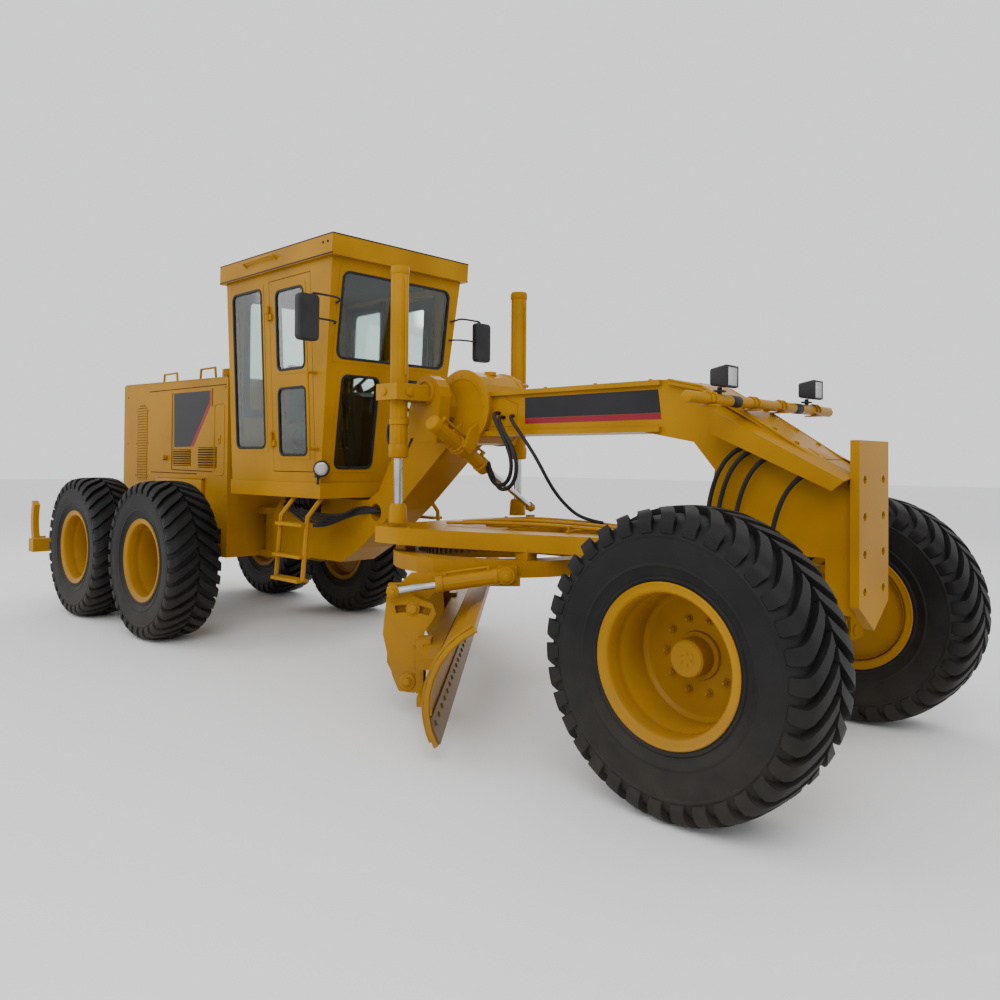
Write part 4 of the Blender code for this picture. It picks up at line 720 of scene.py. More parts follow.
def side_sheet(work, points, inner, outer):
    """A thin plate standing on a side wall, between two distances from the middle plane."""
    verts = [work.verts.new(at(x, inner, z)) for x, z in points]
    face = work.faces.new(verts)
    lifted = bmesh.ops.extrude_face_region(work, geom=[face])["geom"]
    bmesh.ops.translate(work, vec=(0, outer - inner, 0),
                        verts=[v for v in lifted if isinstance(v, bmesh.types.BMVert)])
    return verts


for side_name, side in SIDES.items():
    for name, body, wall, finish, outline in (
        ("hood_decal", "rear_frame", HOOD_SIDE, charcoal,
         [(-0.297, 2.19), (0.440, 2.182), (0.440, 2.08), (0.060, 1.657), (-0.28, 1.655)]),
        ("hood_stripe", "rear_frame", HOOD_SIDE, crimson,
         [(0.442, 2.182), (0.471, 2.182), (0.471, 2.05), (0.130, 1.658), (0.063, 1.657), (0.442, 2.078)]),
        ("beam_decal", "front_frame", BEAM_SIDE, charcoal,
         [(4.165, 1.957), (5.196, 1.957), (5.215, 1.822), (4.165, 1.822)]),
        ("beam_stripe", "front_frame", BEAM_SIDE, crimson,
         [(4.165, 1.820), (5.215, 1.820), (5.218, 1.785), (4.165, 1.785)]),
    ):
        panel = bmesh.new()
        side_sheet(panel, outline, side * (wall + 0.0004), side * (wall + 0.0004 + DECAL))
        piece_from(f"{name}_{side_name}", panel, finish, body)

# ------------------------------------------------------------------ hood panels
# Folded seams, a perforated air strip, two louvre patches, a latched filler door and a toolbox on each
# side. The top has a folded edge and the tail carries red lamps.
shadow = mottled(new_material("vent_shadow", (0.012, 0.010, 0.006), 0.9), (0.014, 0.012, 0.008),
                 (0.008, 0.007, 0.005), 6.0, None, 1.0, 0.1, 60.0, (0.85, 0.95))
STRIP_LEFT, STRIP_RIGHT, STRIP_LOW, STRIP_TOP = -1.16, -0.91, 1.31, 2.10
for side_name, side in SIDES.items():
    seams = bmesh.new()
    seam_out = side * (HOOD_SIDE + 0.0012)
    seam_lines = [((-0.86, 2.235), (0.76, 2.222)), ((-0.33, 2.20), (-0.33, 1.43)),
                  ((-0.33, 1.43), (0.50, 1.42)),
                  ((0.50, 2.20), (0.50, 2.03)), ((-0.80, 1.40), (0.20, 1.395))]
    for (x0, z0), (x1, z1) in seam_lines:
        add_bar(seams, at(x0, seam_out, z0), at(x1, seam_out, z1), 0.0035, 8)
    piece_from(f"hood_seams_{side_name}", seams, shadow, "rear_frame")

    strip = bmesh.new()
    top = [(STRIP_RIGHT, STRIP_TOP - 0.06), (STRIP_RIGHT - 0.06, STRIP_TOP), (STRIP_LEFT + 0.06, STRIP_TOP),
           (STRIP_LEFT, STRIP_TOP - 0.06)]
    side_sheet(strip, [(STRIP_LEFT, STRIP_LOW), (STRIP_RIGHT, STRIP_LOW)] + top,
               side * (HOOD_SIDE + 0.0003), side * (HOOD_SIDE + 0.0016))
    piece_from(f"air_strip_{side_name}", strip, shadow, "rear_frame")
    mesh_bars = bmesh.new()
    rows = 28
    for row in range(rows):
        z = STRIP_LOW + 0.012 + (STRIP_TOP - STRIP_LOW - 0.03) * row / (rows - 1)
        inset = max(0.0, z - (STRIP_TOP - 0.06))
        near, far = sorted((side * (HOOD_SIDE + 0.001), side * (HOOD_SIDE + 0.0042)))
        add_block(mesh_bars, at(STRIP_LEFT + inset, near, z - 0.0085),
                  at(STRIP_RIGHT - inset, far, z + 0.0085), 0.0015)
    for column in range(9):
        x = STRIP_LEFT + 0.012 + (STRIP_RIGHT - STRIP_LEFT - 0.024) * column / 8
        near, far = sorted((side * (HOOD_SIDE + 0.001), side * (HOOD_SIDE + 0.005)))
        add_block(mesh_bars, at(x - 0.006, near, STRIP_LOW), at(x + 0.006, far, STRIP_TOP - 0.03), 0.0012)
    for x in (STRIP_LEFT - 0.02, STRIP_RIGHT + 0.02):
        for z in (1.36, 1.70, 2.04):
            add_bolt(mesh_bars, at(x, side * HOOD_SIDE, z), (0, side, 0), 0.008)
    for low, high, bottom, summit, count in LOUVRES:
        for slat in range(count):
            z = bottom + (summit - bottom) * (slat + 0.5) / count
            slat_matrix = wall_frame(at((low + high) / 2, side * HOOD_SIDE, z), Vector((-side, 0, 0)),
                    Vector((0, 0, 1)))
            tilt = Matrix.Rotation(math.radians(24), 4, "X")
            half = (high - low) / 2
            add_block(mesh_bars, (-half, -0.006, -0.001), (half, 0.007, 0.0055), 0.001, slat_matrix @ tilt)
    piece_from(f"hood_vents_{side_name}", mesh_bars, yellow, "rear_frame")
    gaps = bmesh.new()
    for low, high, bottom, summit, _ in LOUVRES:
        side_sheet(gaps, [(low - 0.004, bottom), (high + 0.004, bottom), (high + 0.004, summit),
                          (low - 0.004, summit)],
                   side * (HOOD_SIDE + 0.0003), side * (HOOD_SIDE + 0.0012))
    piece_from(f"louvre_gaps_{side_name}", gaps, shadow, "rear_frame")

    trims = bmesh.new()
    ring = [(0.545, 1.42), (0.545, 2.02), (0.575, 2.05), (0.70, 2.05), (0.73, 2.02), (0.73, 1.42),
            (0.70, 1.39), (0.575, 1.39)]
    for (x0, z0), (x1, z1) in zip(ring, ring[1:] + ring[:1]):
        add_bar(trims, at(x0, side * HOOD_SIDE, z0), at(x1, side * HOOD_SIDE, z1), 0.006, 8)
    near, far = sorted((side * (HOOD_SIDE - 0.001), side * (HOOD_SIDE + 0.006)))
    add_block(trims, at(0.60, near, 1.68), at(0.66, far, 1.76), 0.002)
    add_bar(trims, at(0.63, side * HOOD_SIDE, 1.72), at(0.63, side * (HOOD_SIDE + 0.014), 1.72), 0.012, 14,
            0.003)
    add_bar(trims, at(-0.45, side * HOOD_SIDE, 1.55), at(-0.45, side * (HOOD_SIDE + 0.03), 1.55), 0.024, 20,
            0.006)
    add_bar(trims, at(-0.45, side * (HOOD_SIDE + 0.03), 1.55), at(-0.45, side * (HOOD_SIDE + 0.045), 1.55),
            0.030, 6, 0.004)
    box_near, box_far = sorted((side * (HOOD_SIDE - 0.001), side * (HOOD_SIDE + 0.035)))
    add_block(trims, at(-0.62, box_near, 1.17), at(0.36, box_far, 1.345), 0.008)
    add_block(trims, at(-0.64, box_near, 1.347), at(0.38, box_far, 1.36), 0.003)
    for x in (-1.40, 0.74):
        for z in (1.20, 1.70, 2.20):
            add_bolt(trims, at(x, side * HOOD_SIDE, z), (0, side, 0), 0.009)
    add_bar(trims, at(-1.46, side * (HOOD_SIDE - 0.002), 2.335),
            at(0.78, side * (HOOD_SIDE - 0.002), 2.288), 0.006, 10)
    piece_from(f"hood_trim_{side_name}", trims, yellow, "rear_frame")

red_lens = mottled(new_material("red_lens", (0.45, 0.01, 0.012), 0.15), (0.50, 0.012, 0.014),
                   (0.38, 0.008, 0.010),
                   30.0, None, 1.0, 0.4, 150.0, (0.10, 0.20))
for side_name, side in SIDES.items():
    turned_piece(f"tail_lamp_{side_name}", [(0.0, 0.030), (0.035, 0.027), (0.052, 0.015), (0.055, 0.002),
            (0.0, 0.001)],
                 facing(at(-1.471, side * 0.38, 1.28), (-1, 0, 0)), red_lens, "rear_frame", 32, False)

# ------------------------------------------------------------------ beam seams, nose guard and front plate
# Welded cover with a row of bolts along the nose. A folded guard hangs over each side of the nose and
# black hoses come out under it and dive behind the tyre.
nose_bits = bmesh.new()
flange_top = [(5.28, 2.01), (5.49, 1.962), (5.79, 1.785), (6.29, 1.467)]
for side in SIDES.values():
    for (x0, z0), (x1, z1) in zip(flange_top, flange_top[1:]):
        add_bar(nose_bits, at(x0, side * 0.166, z0 - 0.004), at(x1, side * 0.166, z1 - 0.004), 0.007, 8)
    for x, z in ((5.60, 1.897), (5.72, 1.826), (5.90, 1.715), (6.02, 1.638), (6.14, 1.562), (6.24, 1.498)):
        add_bolt(nose_bits, at(x, side * 0.13, z + 0.002), (0.53, 0, 0.85), 0.012)
    for x in (3.95, 4.35, 4.75, 5.15):
        add_bolt(nose_bits, at(x, side * 0.150, 2.010), (0, 0, 1), 0.011)
    for (x0, z0), (x1, z1) in (((3.86, 1.97), (3.86, 1.78)), ((3.86, 1.78), (4.08, 1.775)),
                               ((3.86, 1.97), (3.98, 1.97)), ((3.98, 1.97), (4.10, 1.92)), ((4.08, 1.775),
            (4.10, 1.92))):
        add_bar(nose_bits, at(x0, side * 0.1415, z0), at(x1, side * 0.1415, z1), 0.006, 8)
add_block(nose_bits, at(6.05, -0.09, 1.631), at(6.16, 0.09, 1.637), 0.002,
          Matrix.Translation(at(6.105, 0, 1.585)) @ Matrix.Rotation(math.radians(32.4), 4,
                  "Y") @ Matrix.Translation(-at(6.105, 0, 1.634)))
piece_from("nose_trim", nose_bits, yellow, "front_frame")

GUARD_OUT = 0.25
for side_name, side in SIDES.items():
    guard = bmesh.new()
    outer, inner = side * GUARD_OUT, side * 0.139
    corners = [(5.607, 1.815), (6.305, 1.455), (6.245, 1.405), (5.60, 1.690)]
    crease_inner = [(5.607, 1.850), (6.325, 1.478)]
    top = [guard.verts.new(at(x, inner, z)) for x, z in crease_inner]
    fold = [guard.verts.new(at(x, outer, z)) for x, z in corners[:2]]
    lip = [guard.verts.new(at(x, outer, z)) for x, z in (corners[2], corners[3])]
    guard.faces.new((top[0], top[1], fold[1], fold[0]))
    guard.faces.new((fold[0], fold[1], lip[0], lip[1]))
    bmesh.ops.recalc_face_normals(guard, faces=guard.faces)
    bmesh.ops.solidify(guard, geom=list(guard.faces), thickness=0.006)
    piece_from(f"nose_guard_{side_name}", guard, yellow, "front_frame", 20)
    starts = ((5.74, 1.60), (5.80, 1.585), (5.90, 1.555), (6.10, 1.47))
    for number, (x, z) in enumerate(starts):
        route = [at(x + 0.10, side * 0.155, z + 0.03), at(x, side * 0.185, z + 0.03),
                 at(x - 0.09, side * 0.205, z - 0.04),
                 at(x - 0.16, side * 0.215, z - 0.20), at(x - 0.19, side * 0.215, z - 0.38), at(x - 0.17,
                         side * 0.20, 1.02)]
        bent_tube(f"nose_hose_{side_name}_{number}", route, 0.0125, seal_rubber, "front_frame", 4,
                          4)

# ------------------------------------------------------------------ light bar
# A yellow pipe clamped across the nose by two U-bolts, with black tape at two places and a square work
# lamp on a swivel near each end.
bar_low, bar_high = (Vector(corner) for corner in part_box("light_bar"))
bar_x = (bar_low.x + bar_high.x) / 2 - 0.02
BAR_Z, LAMP_Y, LAMP_Z = 1.848, 0.50, 1.960
light_pipe = bmesh.new()
add_bar(light_pipe, (bar_x, bar_low.y, BAR_Z), (bar_x, bar_high.y, BAR_Z), 0.029, 28, 0.006)
tape = bmesh.new()
for y in (-0.60, -0.16, 0.16, 0.60):
    for offset in (-0.022, 0.022):
        ring = [(bar_x + 0.034 * math.sin(t), y + offset, BAR_Z + 0.034 * math.cos(t))
                for t in (math.radians(-110 + 27.5 * step) for step in range(9))]
        for start, end in zip(ring, ring[1:]):
            add_bar(light_pipe, start, end, 0.005, 8)
    add_block(light_pipe, (bar_x - 0.045, y - 0.03, BAR_Z - 0.036),
              (bar_x + 0.045, y + 0.03, BAR_Z - 0.029), 0.002)
light_body = piece_from("light_bar_pipe", light_pipe, yellow, "front_frame")
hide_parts("light_bar")
for y in (-0.40, 0.32):
    add_bar(tape, (bar_x, y, BAR_Z), (bar_x, y + 0.085, BAR_Z), 0.0305, 24, 0.001)
lamp_shells = bmesh.new()
for y in (-LAMP_Y, LAMP_Y):
    centre = Vector((bar_x, y, 0))
    add_bar(lamp_shells, centre + Vector((0, 0, BAR_Z + 0.024)), centre + Vector((0, 0, 1.91)), 0.012, 14)
    add_block(lamp_shells, (bar_x - 0.022, y - 0.03, 1.886), (bar_x + 0.022, y + 0.03, 1.896), 0.003)
    shell = bmesh.ops.create_cube(lamp_shells, size=1.0)["verts"]
    bmesh.ops.scale(lamp_shells, vec=(0.105, 0.118, 0.116), verts=shell)
    for vert in shell:
        if vert.co.x < 0:
            vert.co.y *= 0.72
            vert.co.z *= 0.72
    bevelled(lamp_shells, edges_of(shell), 0.012, 3)
    moved = [v for v in lamp_shells.verts if v.co.length < 0.2]
    bmesh.ops.translate(lamp_shells, vec=(bar_x + 0.018, y, LAMP_Z), verts=moved)
piece_from("lamp_shells", lamp_shells, black, "front_frame")
piece_from("light_bar_tape", tape, seal_rubber, "front_frame")
lamp_front = bmesh.new()
lamp_rims = bmesh.new()
for y in (-LAMP_Y, LAMP_Y):
    face_x = bar_x + 0.0705
    add_block(lamp_front, (face_x - 0.002, y - 0.046, LAMP_Z - 0.045),
              (face_x + 0.0012, y + 0.046, LAMP_Z + 0.045), 0.0012)
    for low, high in (((-0.054, -0.053), (0.054, -0.045)), ((-0.054, 0.045), (0.054, 0.053)),
                      ((-0.054, -0.047), (-0.046, 0.047)), ((0.046, -0.047), (0.054, 0.047))):
        add_block(lamp_rims, (face_x - 0.006, y + low[0], LAMP_Z + low[1]),
                  (face_x + 0.004, y + high[0], LAMP_Z + high[1]), 0.002)
piece_from("lamp_lenses", lamp_front, lens, "front_frame")
piece_from("lamp_rims", lamp_rims, black, "front_frame")


# ------------------------------------------------------------------ saddle and lift cylinders
# The saddle's discs are ringed, each arm's pin has a bolted cap, and each lift barrel has a gland collar,
# a top cap, a clamp and an oil line down its side.
SADDLE_X, SADDLE_Z = 3.62, 1.91
ARM_X, ARM_Z = 3.47, 2.01
LIFT_X, LIFT_Y = 3.42, 0.60
for side_name, side in SIDES.items():
    cap = facing(at(ARM_X, side * 0.399, ARM_Z), (0, side, 0))
    turned_piece(f"arm_cap_{side_name}", [(0.0, 0.020), (0.055, 0.020), (0.062, 0.014),
            (0.068, 0.014),
            (0.072, 0.022), (0.086, 0.022), (0.090, 0.016), (0.090, -0.004), (0.0, -0.004)], cap, yellow,
            "front_frame", 40, False)
    bits = bmesh.new()
    for number in range(3):
        turn = math.radians(90 + 120 * number)
        add_bolt(bits, at(ARM_X + 0.034 * math.cos(turn), side * 0.419, ARM_Z + 0.034 * math.sin(turn)),
                 (0, side, 0), 0.011)
    for number in range(16):
        turn = math.tau * number / 16
        add_bolt(bits, at(SADDLE_X + 0.225 * math.cos(turn), side * 0.1995,
                          SADDLE_Z + 0.225 * math.sin(turn)), (0, side, 0), 0.010)
    add_bar(bits, at(LIFT_X - 0.02, side * 0.705, 2.0), at(LIFT_X - 0.02, side * 0.722, 2.0), 0.026, 20,
            0.004)
    add_bar(bits, at(LIFT_X + 0.108, side * LIFT_Y, 2.0), at(LIFT_X + 0.125, side * LIFT_Y, 2.0), 0.030, 20,
            0.004)
    piece_from(f"saddle_bolts_{side_name}", bits, yellow, "front_frame")
    turned_piece(f"saddle_ring_{side_name}",
                         [(0.258, -0.03), (0.266, -0.02), (0.266, 0.0), (0.255, 0.006), (0.198, 0.004),
            (0.19, -0.004)],
            facing(at(SADDLE_X, side * 0.20, SADDLE_Z),
                   (0, side, 0)), yellow, "front_frame", 64)
    for name, outline, height in (
        ("gland_collar", [(0.0315, 0.0), (0.058, 0.0), (0.068, 0.010), (0.070, 0.085), (0.064, 0.095),
                          (0.0622, 0.095)], 1.552),
        ("barrel_band", [(0.0622, -0.02), (0.068, -0.018), (0.068, 0.018), (0.0622, 0.02)], 1.80),
        ("top_cap", [(0.0, 0.002), (0.045, 0.002), (0.052, -0.004), (0.066, -0.010), (0.066, -0.045),
                     (0.0622, -0.05)], 2.856),
    ):
        closed = name != "top_cap"
        turned_piece(f"{name}_{side_name}", outline,
                             Matrix.Translation(at(LIFT_X, side * LIFT_Y, height)),
                             yellow, "front_frame", 40, closed)
    turned_piece(f"rod_socket_{side_name}",
                         [(0.0306, 0.1405), (0.048, 0.143), (0.058, 0.122), (0.0635, 0.025),
            (0.0635, 0.016), (0.0606, 0.016), (0.0606, 0.021), (0.0556,
                    0.1205)], Matrix.Translation(at(LIFT_X, side * LIFT_Y, 1.10)),
            yellow, f"lift_rod_{side_name}", 40)
    line_x = LIFT_X + 0.066
    bent_tube(f"lift_line_{side_name}", [at(LIFT_X + 0.045, side * LIFT_Y, 2.80),
            at(line_x, side * LIFT_Y, 2.78),
            at(line_x, side * LIFT_Y, 2.60), at(line_x, side * LIFT_Y,
                    2.12)], 0.008, yellow, "front_frame")
    bent_tube(f"lift_hose_{side_name}", [at(LIFT_X - 0.06, side * 0.60, 1.62),
            at(LIFT_X - 0.14, side * 0.60, 1.66),
            at(LIFT_X - 0.20, side * 0.52, 1.88), at(LIFT_X - 0.20, side * 0.36, 1.96), at(3.12,
                    side * 0.16, 1.80),
            at(3.0, side * 0.165, 1.62)], 0.012, seal_rubber, "front_frame", 4)

turret = bmesh.new()
add_bar(turret, at(3.30, 0, 2.05), at(3.30, 0, 2.14), 0.13, 32, 0.02)
add_bar(turret, at(3.70, 0, 2.14), at(3.70, 0, 2.17), 0.045, 24, 0.006)
add_bar(turret, at(3.68, 0.18, 2.10), at(3.68, 0.34, 2.10), 0.028, 20, 0.005)
add_bar(turret, at(3.68, 0.30, 2.10), at(3.68, 0.42, 2.10), 0.014, 16, 0.003)
for step in range(3):
    add_bar(turret, at(3.68, 0.215 + 0.045 * step, 2.10), at(3.68, 0.235 + 0.045 * step, 2.10), 0.040, 6,
            0.004)
piece_from("saddle_lock", turret, yellow, "front_frame")

# ------------------------------------------------------------------ centre-shift cylinder and drawbar lines
# A clamp band holds the barrel in its trunnion, ports stand on it, and a ball cap closes the rod's end
# over its post. Two hoses loop from the beam to the barrel and one to the drawbar; they ride on no body
# and stay where they are built. Pipes lie on the drawbar.
CIRCLE_X = 3.85
shift_pin = pin["shift_barrel_swing"]
shift_eye = at(3.60, 0.55, 1.19)
shift_axis = (shift_eye - shift_pin).normalized()
for name, start, outline in (
    ("shift_clamp", 0.0, [(0.0503, -0.055), (0.060, -0.052), (0.060, -0.030), (0.066, -0.026),
                          (0.066, 0.026), (0.060, 0.030), (0.060, 0.052), (0.0503, 0.055)]),
    ("shift_gland", 0.27, [(0.0503, -0.045), (0.058, -0.040), (0.058, 0.028), (0.050, 0.034),
                           (0.026, 0.036), (0.026, 0.030)]),
    ("shift_tail", -0.34, [(0.0, -0.006), (0.047, -0.006), (0.053, 0.0), (0.055, 0.004), (0.055, 0.05),
                           (0.0503, 0.055)]),
):
    turned_piece(name, outline, facing(shift_pin + shift_axis * start, shift_axis), yellow,
                         "shift_barrel",
                         36, name != "shift_tail")
turned_piece("shift_ball_cap", [(0.0, 0.034), (0.018, 0.030), (0.035, 0.014), (0.039, -0.006),
        (0.036, -0.024), (0.0, -0.028)],
                     facing(shift_eye, (0, 0, 1)), yellow, "shift_rod", 28, False)
ports = bmesh.new()
port_up = (Vector((0.4, 0, 1)) - shift_axis * shift_axis.dot(Vector((0.4, 0, 1)))).normalized()
for along in (-0.27, 0.20):
    foot = shift_pin + shift_axis * along
    add_bar(ports, foot + port_up * 0.045, foot + port_up * 0.085, 0.017, 6, 0.003)
add_bar(ports, shift_pin + shift_axis * -0.27 + port_up * 0.075,
        shift_pin + shift_axis * 0.20 + port_up * 0.075, 0.009, 12)
piece_from("shift_ports", ports, yellow, "shift_barrel")
for number, (reach, drop) in enumerate(((0.0, 0.0), (0.045, 0.03))):
    route = [at(3.93 + reach, -0.142, 1.862 - drop), at(3.95 + reach, -0.24, 1.868 - drop),
             at(4.10 + reach, -0.33, 1.76 - drop),
             at(4.24 + reach, -0.33, 1.56), at(4.18 + reach, -0.30, 1.40 - drop), at(3.98, -0.20,
                     1.36 - drop),
             at(3.80 + reach, -0.09, 1.40), shift_pin + shift_axis * 0.275 + Vector((0.035 + 0.4 * reach, 0,
                     0.02))]
    beam_hose = bent_tube(f"beam_hose_{number}", route, 0.0135, seal_rubber, None, 4, 4)
    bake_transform(beam_hose)
drawbar_hose = bent_tube("drawbar_hose", [at(4.06, -0.142, 1.840), at(4.08, -0.22, 1.845),
        at(4.22, -0.27, 1.74),
                                          at(4.36, -0.24, 1.56), at(4.38, -0.12, 1.36), at(4.42, 0.02,
                                                  1.22),
                                          at(4.50, 0.055, 1.165), at(4.66, 0.055,
                                                  1.150)], 0.0115, seal_rubber, None, 4, 4)
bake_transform(drawbar_hose)
for number in range(4):
    y = -0.12 + 0.07 * number
    lift = 0.016 * (number % 2)
    bent_tube(f"drawbar_pipe_{number}", [at(3.55, y * 2.2, 1.106), at(3.80, y * 2.0, 1.115 + lift),
            at(4.10, y * 1.6, 1.130 + lift),
            at(4.50, y, 1.128 + lift), at(4.85, y * 0.8, 1.120 + lift), at(5.20, y * 0.6,
                    1.112)], 0.011, yellow, "drawbar", 4, 4)
drawbar_bits = bmesh.new()
for x in (4.05, 4.55, 4.95):
    add_block(drawbar_bits, at(x - 0.012, -0.17, 1.090), at(x + 0.012, 0.17, 1.106), 0.003)
    add_bar(drawbar_bits, at(x, -0.15, 1.10), at(x, -0.15, 1.135), 0.009, 6)
    add_bar(drawbar_bits, at(x, 0.15, 1.10), at(x, 0.15, 1.135), 0.009, 6)
add_bar(drawbar_bits, at(CIRCLE_X, 0, 1.09), at(CIRCLE_X, 0, 1.115), 0.13, 36, 0.008)
for number in range(10):
    turn = math.tau * number / 10
    add_bolt(drawbar_bits, at(CIRCLE_X + 0.105 * math.cos(turn), 0.105 * math.sin(turn), 1.115), (0, 0, 1),
             0.011)
for side in SIDES.values():
    for x in (3.30, 3.54):
        add_bolt(drawbar_bits, at(x, side * 0.60, 1.09), (0, 0, 1), 0.014)
piece_from("drawbar_fittings", drawbar_bits, yellow, "drawbar")

# ------------------------------------------------------------------ blade gear
# Worn cutting edge and end bits bolted along the moldboard, rimmed ends, a slot bolt on each tip bracket,
# and pipes and bosses on the tip cylinder.
BLADE_ANGLE = math.radians(42)
BLADE_CENTRE_N, BLADE_CENTRE_Z, FACE_RADIUS = 0.0889, 0.3008, 0.42
BLADE_MIDDLE, BLADE_HALF = 0.20, 1.83
EDGE_TURN, TOP_TURN = math.radians(208.5), math.radians(115.4)
worn = mottled(new_material("worn_edge", (0.16, 0.095, 0.03), 0.5, 0.4), (0.22, 0.12, 0.025),
               (0.10, 0.065, 0.03),
               3.0, (0.14, 0.09, 0.05), 0.4, 0.4, 80.0, (0.35, 0.65))
blade_turn = Matrix.Translation(at(CIRCLE_X, 0, 0)) @ Matrix.Rotation(BLADE_ANGLE, 4, "Z")


def arc_band(work, inner, outer, turn_low, turn_high, y_low, y_high, steps=10):
    """A curved plate that follows the moldboard's face, between two radii, two turns and two stations."""
    rows = []
    for step in range(steps + 1):
        turn = turn_low + (turn_high - turn_low) * step / steps
        spoke = Vector((math.cos(turn), 0, math.sin(turn)))
        middle = Vector((BLADE_CENTRE_N, 0, BLADE_CENTRE_Z))
        rows.append([work.verts.new(middle + spoke * radius + Vector((0, y, 0)))
                     for radius, y in ((inner, y_low), (inner, y_high), (outer, y_high), (outer, y_low))])
    for low, high in zip(rows, rows[1:]):
        for corner in range(4):
            after = (corner + 1) % 4
            work.faces.new((low[corner], low[after], high[after], high[corner]))
    work.faces.new(rows[0])
    work.faces.new(rows[-1][::-1])


def blade_place(radius, turn, y):
    spoke = Vector((math.cos(turn), 0, math.sin(turn)))
    return Vector((BLADE_CENTRE_N, y, BLADE_CENTRE_Z)) + spoke * radius, -spoke


edge_plates = bmesh.new()
edge_bolts = bmesh.new()
blade_rims = bmesh.new()
low_y, high_y = BLADE_MIDDLE - BLADE_HALF, BLADE_MIDDLE + BLADE_HALF
arc_band(edge_plates, FACE_RADIUS - 0.014, FACE_RADIUS - 0.0006, EDGE_TURN - 0.004,
         EDGE_TURN - math.radians(20), low_y + 0.014, BLADE_MIDDLE - 0.002, 6)
arc_band(edge_plates, FACE_RADIUS - 0.014, FACE_RADIUS - 0.0006, EDGE_TURN - 0.004,
         EDGE_TURN - math.radians(20), BLADE_MIDDLE + 0.002, high_y - 0.014, 6)
for number in range(24):
    place, out = blade_place(FACE_RADIUS - 0.014, EDGE_TURN - math.radians(13),
                             low_y + 0.08 + number * (high_y - low_y - 0.16) / 23)
    add_bolt(edge_bolts, place, out, 0.013)
for start, end in ((low_y + 0.014, low_y + 0.044), (high_y - 0.044, high_y - 0.014)):
    arc_band(blade_rims, FACE_RADIUS + 0.0255, FACE_RADIUS + 0.037, EDGE_TURN - math.radians(4),
             TOP_TURN + math.radians(2), start, end, 20)
    arc_band(blade_rims, FACE_RADIUS - 0.010, FACE_RADIUS - 0.0006, EDGE_TURN - math.radians(21), TOP_TURN,
             start, end, 20)
for name, work, finish in (("cutting_edge", edge_plates, worn), ("edge_bolts", edge_bolts, worn),
                           ("blade_rims", blade_rims, yellow)):
    bmesh.ops.transform(work, matrix=blade_turn, verts=work.verts)
    piece_from(name, work, finish, "moldboard")

BRACKET_OUT = 0.846
TILT_N, TILT_Z, SLOT_RADIUS, SLOT_TURN = -0.55, 0.22, 0.433, math.radians(86)
bracket_bits = bmesh.new()
for side in SIDES.values():
    outer_y = side * BRACKET_OUT
    slot_n = TILT_N + SLOT_RADIUS * math.cos(SLOT_TURN)
    slot_z = TILT_Z + SLOT_RADIUS * math.sin(SLOT_TURN)
    add_bolt(bracket_bits, (slot_n, outer_y, slot_z), (0, side, 0), 0.030)
    add_bar(bracket_bits, (slot_n, outer_y - side * 0.002, slot_z),
            (slot_n, outer_y + side * 0.006, slot_z), 0.042, 24, 0.002)
    add_bar(bracket_bits, (TILT_N, outer_y - side * 0.005, TILT_Z),
            (TILT_N, outer_y + side * 0.012, TILT_Z), 0.050, 28, 0.004)
    add_bolt(bracket_bits, (TILT_N, outer_y + side * 0.012, TILT_Z), (0, side, 0), 0.024)
    for z in (0.28, 0.44):
        add_bolt(bracket_bits, (TILT_N + 0.05, outer_y, z), (0, side, 0), 0.014)
bmesh.ops.transform(bracket_bits, matrix=blade_turn, verts=bracket_bits.verts)
piece_from("bracket_bolts", bracket_bits, yellow, "blade_carrier")

tip_pin = pin["tip_barrel_swing"]
across = (blade_turn.to_3x3() @ Vector((0, -1, 0))).normalized()
eye_place = blade_turn @ Vector((-0.63, -0.90, 0.765))
tip_axis = (eye_place - blade_turn @ Vector((0.04, -0.90, 0.865))).normalized()
tip_bits = bmesh.new()
for along, length, radius in ((0.05, 0.03, 0.049), (0.375, 0.045, 0.050)):
    add_bar(tip_bits, tip_pin + tip_axis * along, tip_pin + tip_axis * (along + length), radius, 28, 0.004)
tip_up = across.cross(tip_axis).normalized()
tip_up = tip_up if tip_up.z > 0 else -tip_up
for along in (0.10, 0.36):
    add_bar(tip_bits, tip_pin + tip_axis * along + tip_up * 0.04,
            tip_pin + tip_axis * along + tip_up * 0.068, 0.014, 6, 0.002)
add_bar(tip_bits, tip_pin + tip_axis * 0.10 + tip_up * 0.062, tip_pin + tip_axis * 0.36 + tip_up * 0.062,
        0.008, 12)
add_bar(tip_bits, tip_pin + across * 0.044, tip_pin + across * 0.060, 0.036, 24, 0.004)
add_bolt(tip_bits, tip_pin + across * 0.060, across, 0.018)
piece_from("tip_cylinder_fittings", tip_bits, yellow, "tip_barrel")
eye_bits = bmesh.new()
add_bar(eye_bits, eye_place + across * -0.050, eye_place + across * 0.036, 0.037, 28, 0.004)
add_bar(eye_bits, eye_place + across * 0.034, eye_place + across * 0.042, 0.030, 24, 0.002)
add_bolt(eye_bits, eye_place + across * 0.042, across, 0.018)
piece_from("tip_rod_eye", eye_bits, yellow, "tip_rod")

teeth = bmesh.new()
TEETH = 72
for number in range(TEETH):
    spin = Matrix.Translation(at(CIRCLE_X, 0, 0)) @ Matrix.Rotation(math.tau * number / TEETH, 4, "Z")
    add_block(teeth, (0.572, -0.012, 0.845), (0.602, 0.012, 0.915), 0.003, spin)
piece_from("circle_teeth", teeth, worn, "circle")

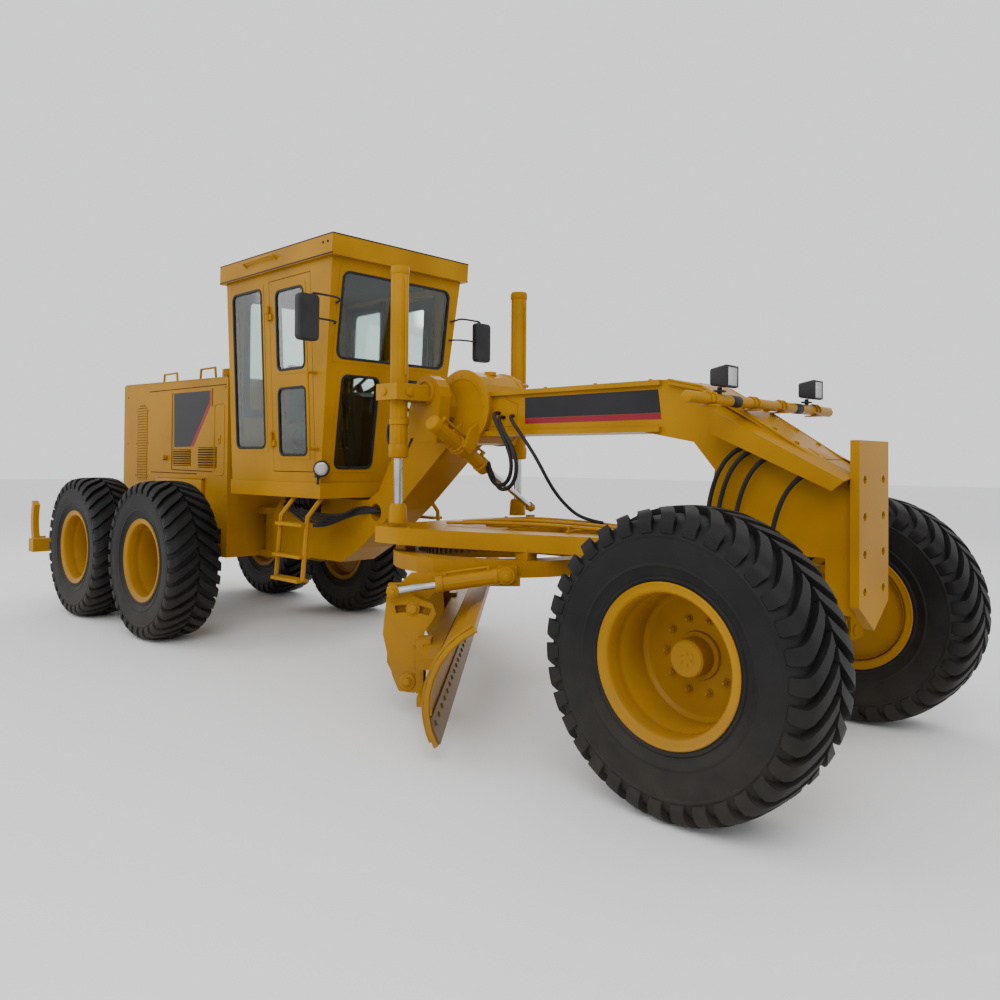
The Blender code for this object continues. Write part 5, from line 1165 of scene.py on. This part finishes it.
# ------------------------------------------------------------------ under the cab
# Brake and steering hoses hang in loops beside the right step, with a valve bank behind them.
valves = bmesh.new()
for side in SIDES.values():
    for number in range(5):
        x = 1.62 + 0.075 * number
        near, far = sorted((side * 0.24, side * 0.36))
        add_block(valves, at(x, near, 1.10), at(x + 0.060, far, 1.225), 0.006)
        add_bar(valves, at(x + 0.03, side * 0.36, 1.16), at(x + 0.03, side * 0.39, 1.16), 0.014, 6, 0.002)
piece_from("valve_bank", valves, black, "front_frame")
for side_name, side in SIDES.items():
    for number in range(5):
        swing = 0.05 * number
        route = [at(1.65 + 0.075 * number, side * 0.385, 1.16),
                 at(1.80 + swing, side * (0.44 + 0.012 * number), 1.14),
                 at(2.10 + swing, side * 0.45, 0.98 + 0.03 * number), at(2.30 + swing, side * 0.36,
                         1.02 + 0.02 * number),
                 at(2.50, side * (0.24 - 0.01 * number), 1.14 + 0.015 * number), at(2.62, side * 0.10,
                         1.13)]
        bent_tube(f"cab_hose_{side_name}_{number}", route, 0.011, seal_rubber, "front_frame", 4, 3)

# ------------------------------------------------------------------ ripper fittings and tandem covers
# Shank sockets with cross pins on the ripper beam, and a bolted cover at each end of each tandem case.
ripper_bits = bmesh.new()
for side in SIDES.values():
    for share in (0.25, 0.60, 0.93):
        y = side * 1.18 * share
        add_block(ripper_bits, at(-2.09, y - 0.05, 0.515), at(-2.072, y + 0.05, 0.685), 0.004)
        add_bolt(ripper_bits, at(-2.09, y - 0.03, 0.60), (-1, 0, 0), 0.012)
        add_bolt(ripper_bits, at(-2.09, y + 0.03, 0.60), (-1, 0, 0), 0.012)
piece_from("ripper_fittings", ripper_bits, yellow, "ripper")
case_bits = bmesh.new()
for side in SIDES.values():
    for number in range(14):
        x = -0.78 + 0.12 * number
        add_bolt(case_bits, at(x, side * 0.74, 0.884), (0, 0, 1), 0.010)
    for x in (-0.30, 0.0, 0.30):
        add_bar(case_bits, at(x, side * 0.74, 0.88), at(x, side * 0.74, 0.897), 0.05, 24, 0.004)
piece_from("tandem_fittings", case_bits, yellow, "rear_frame")
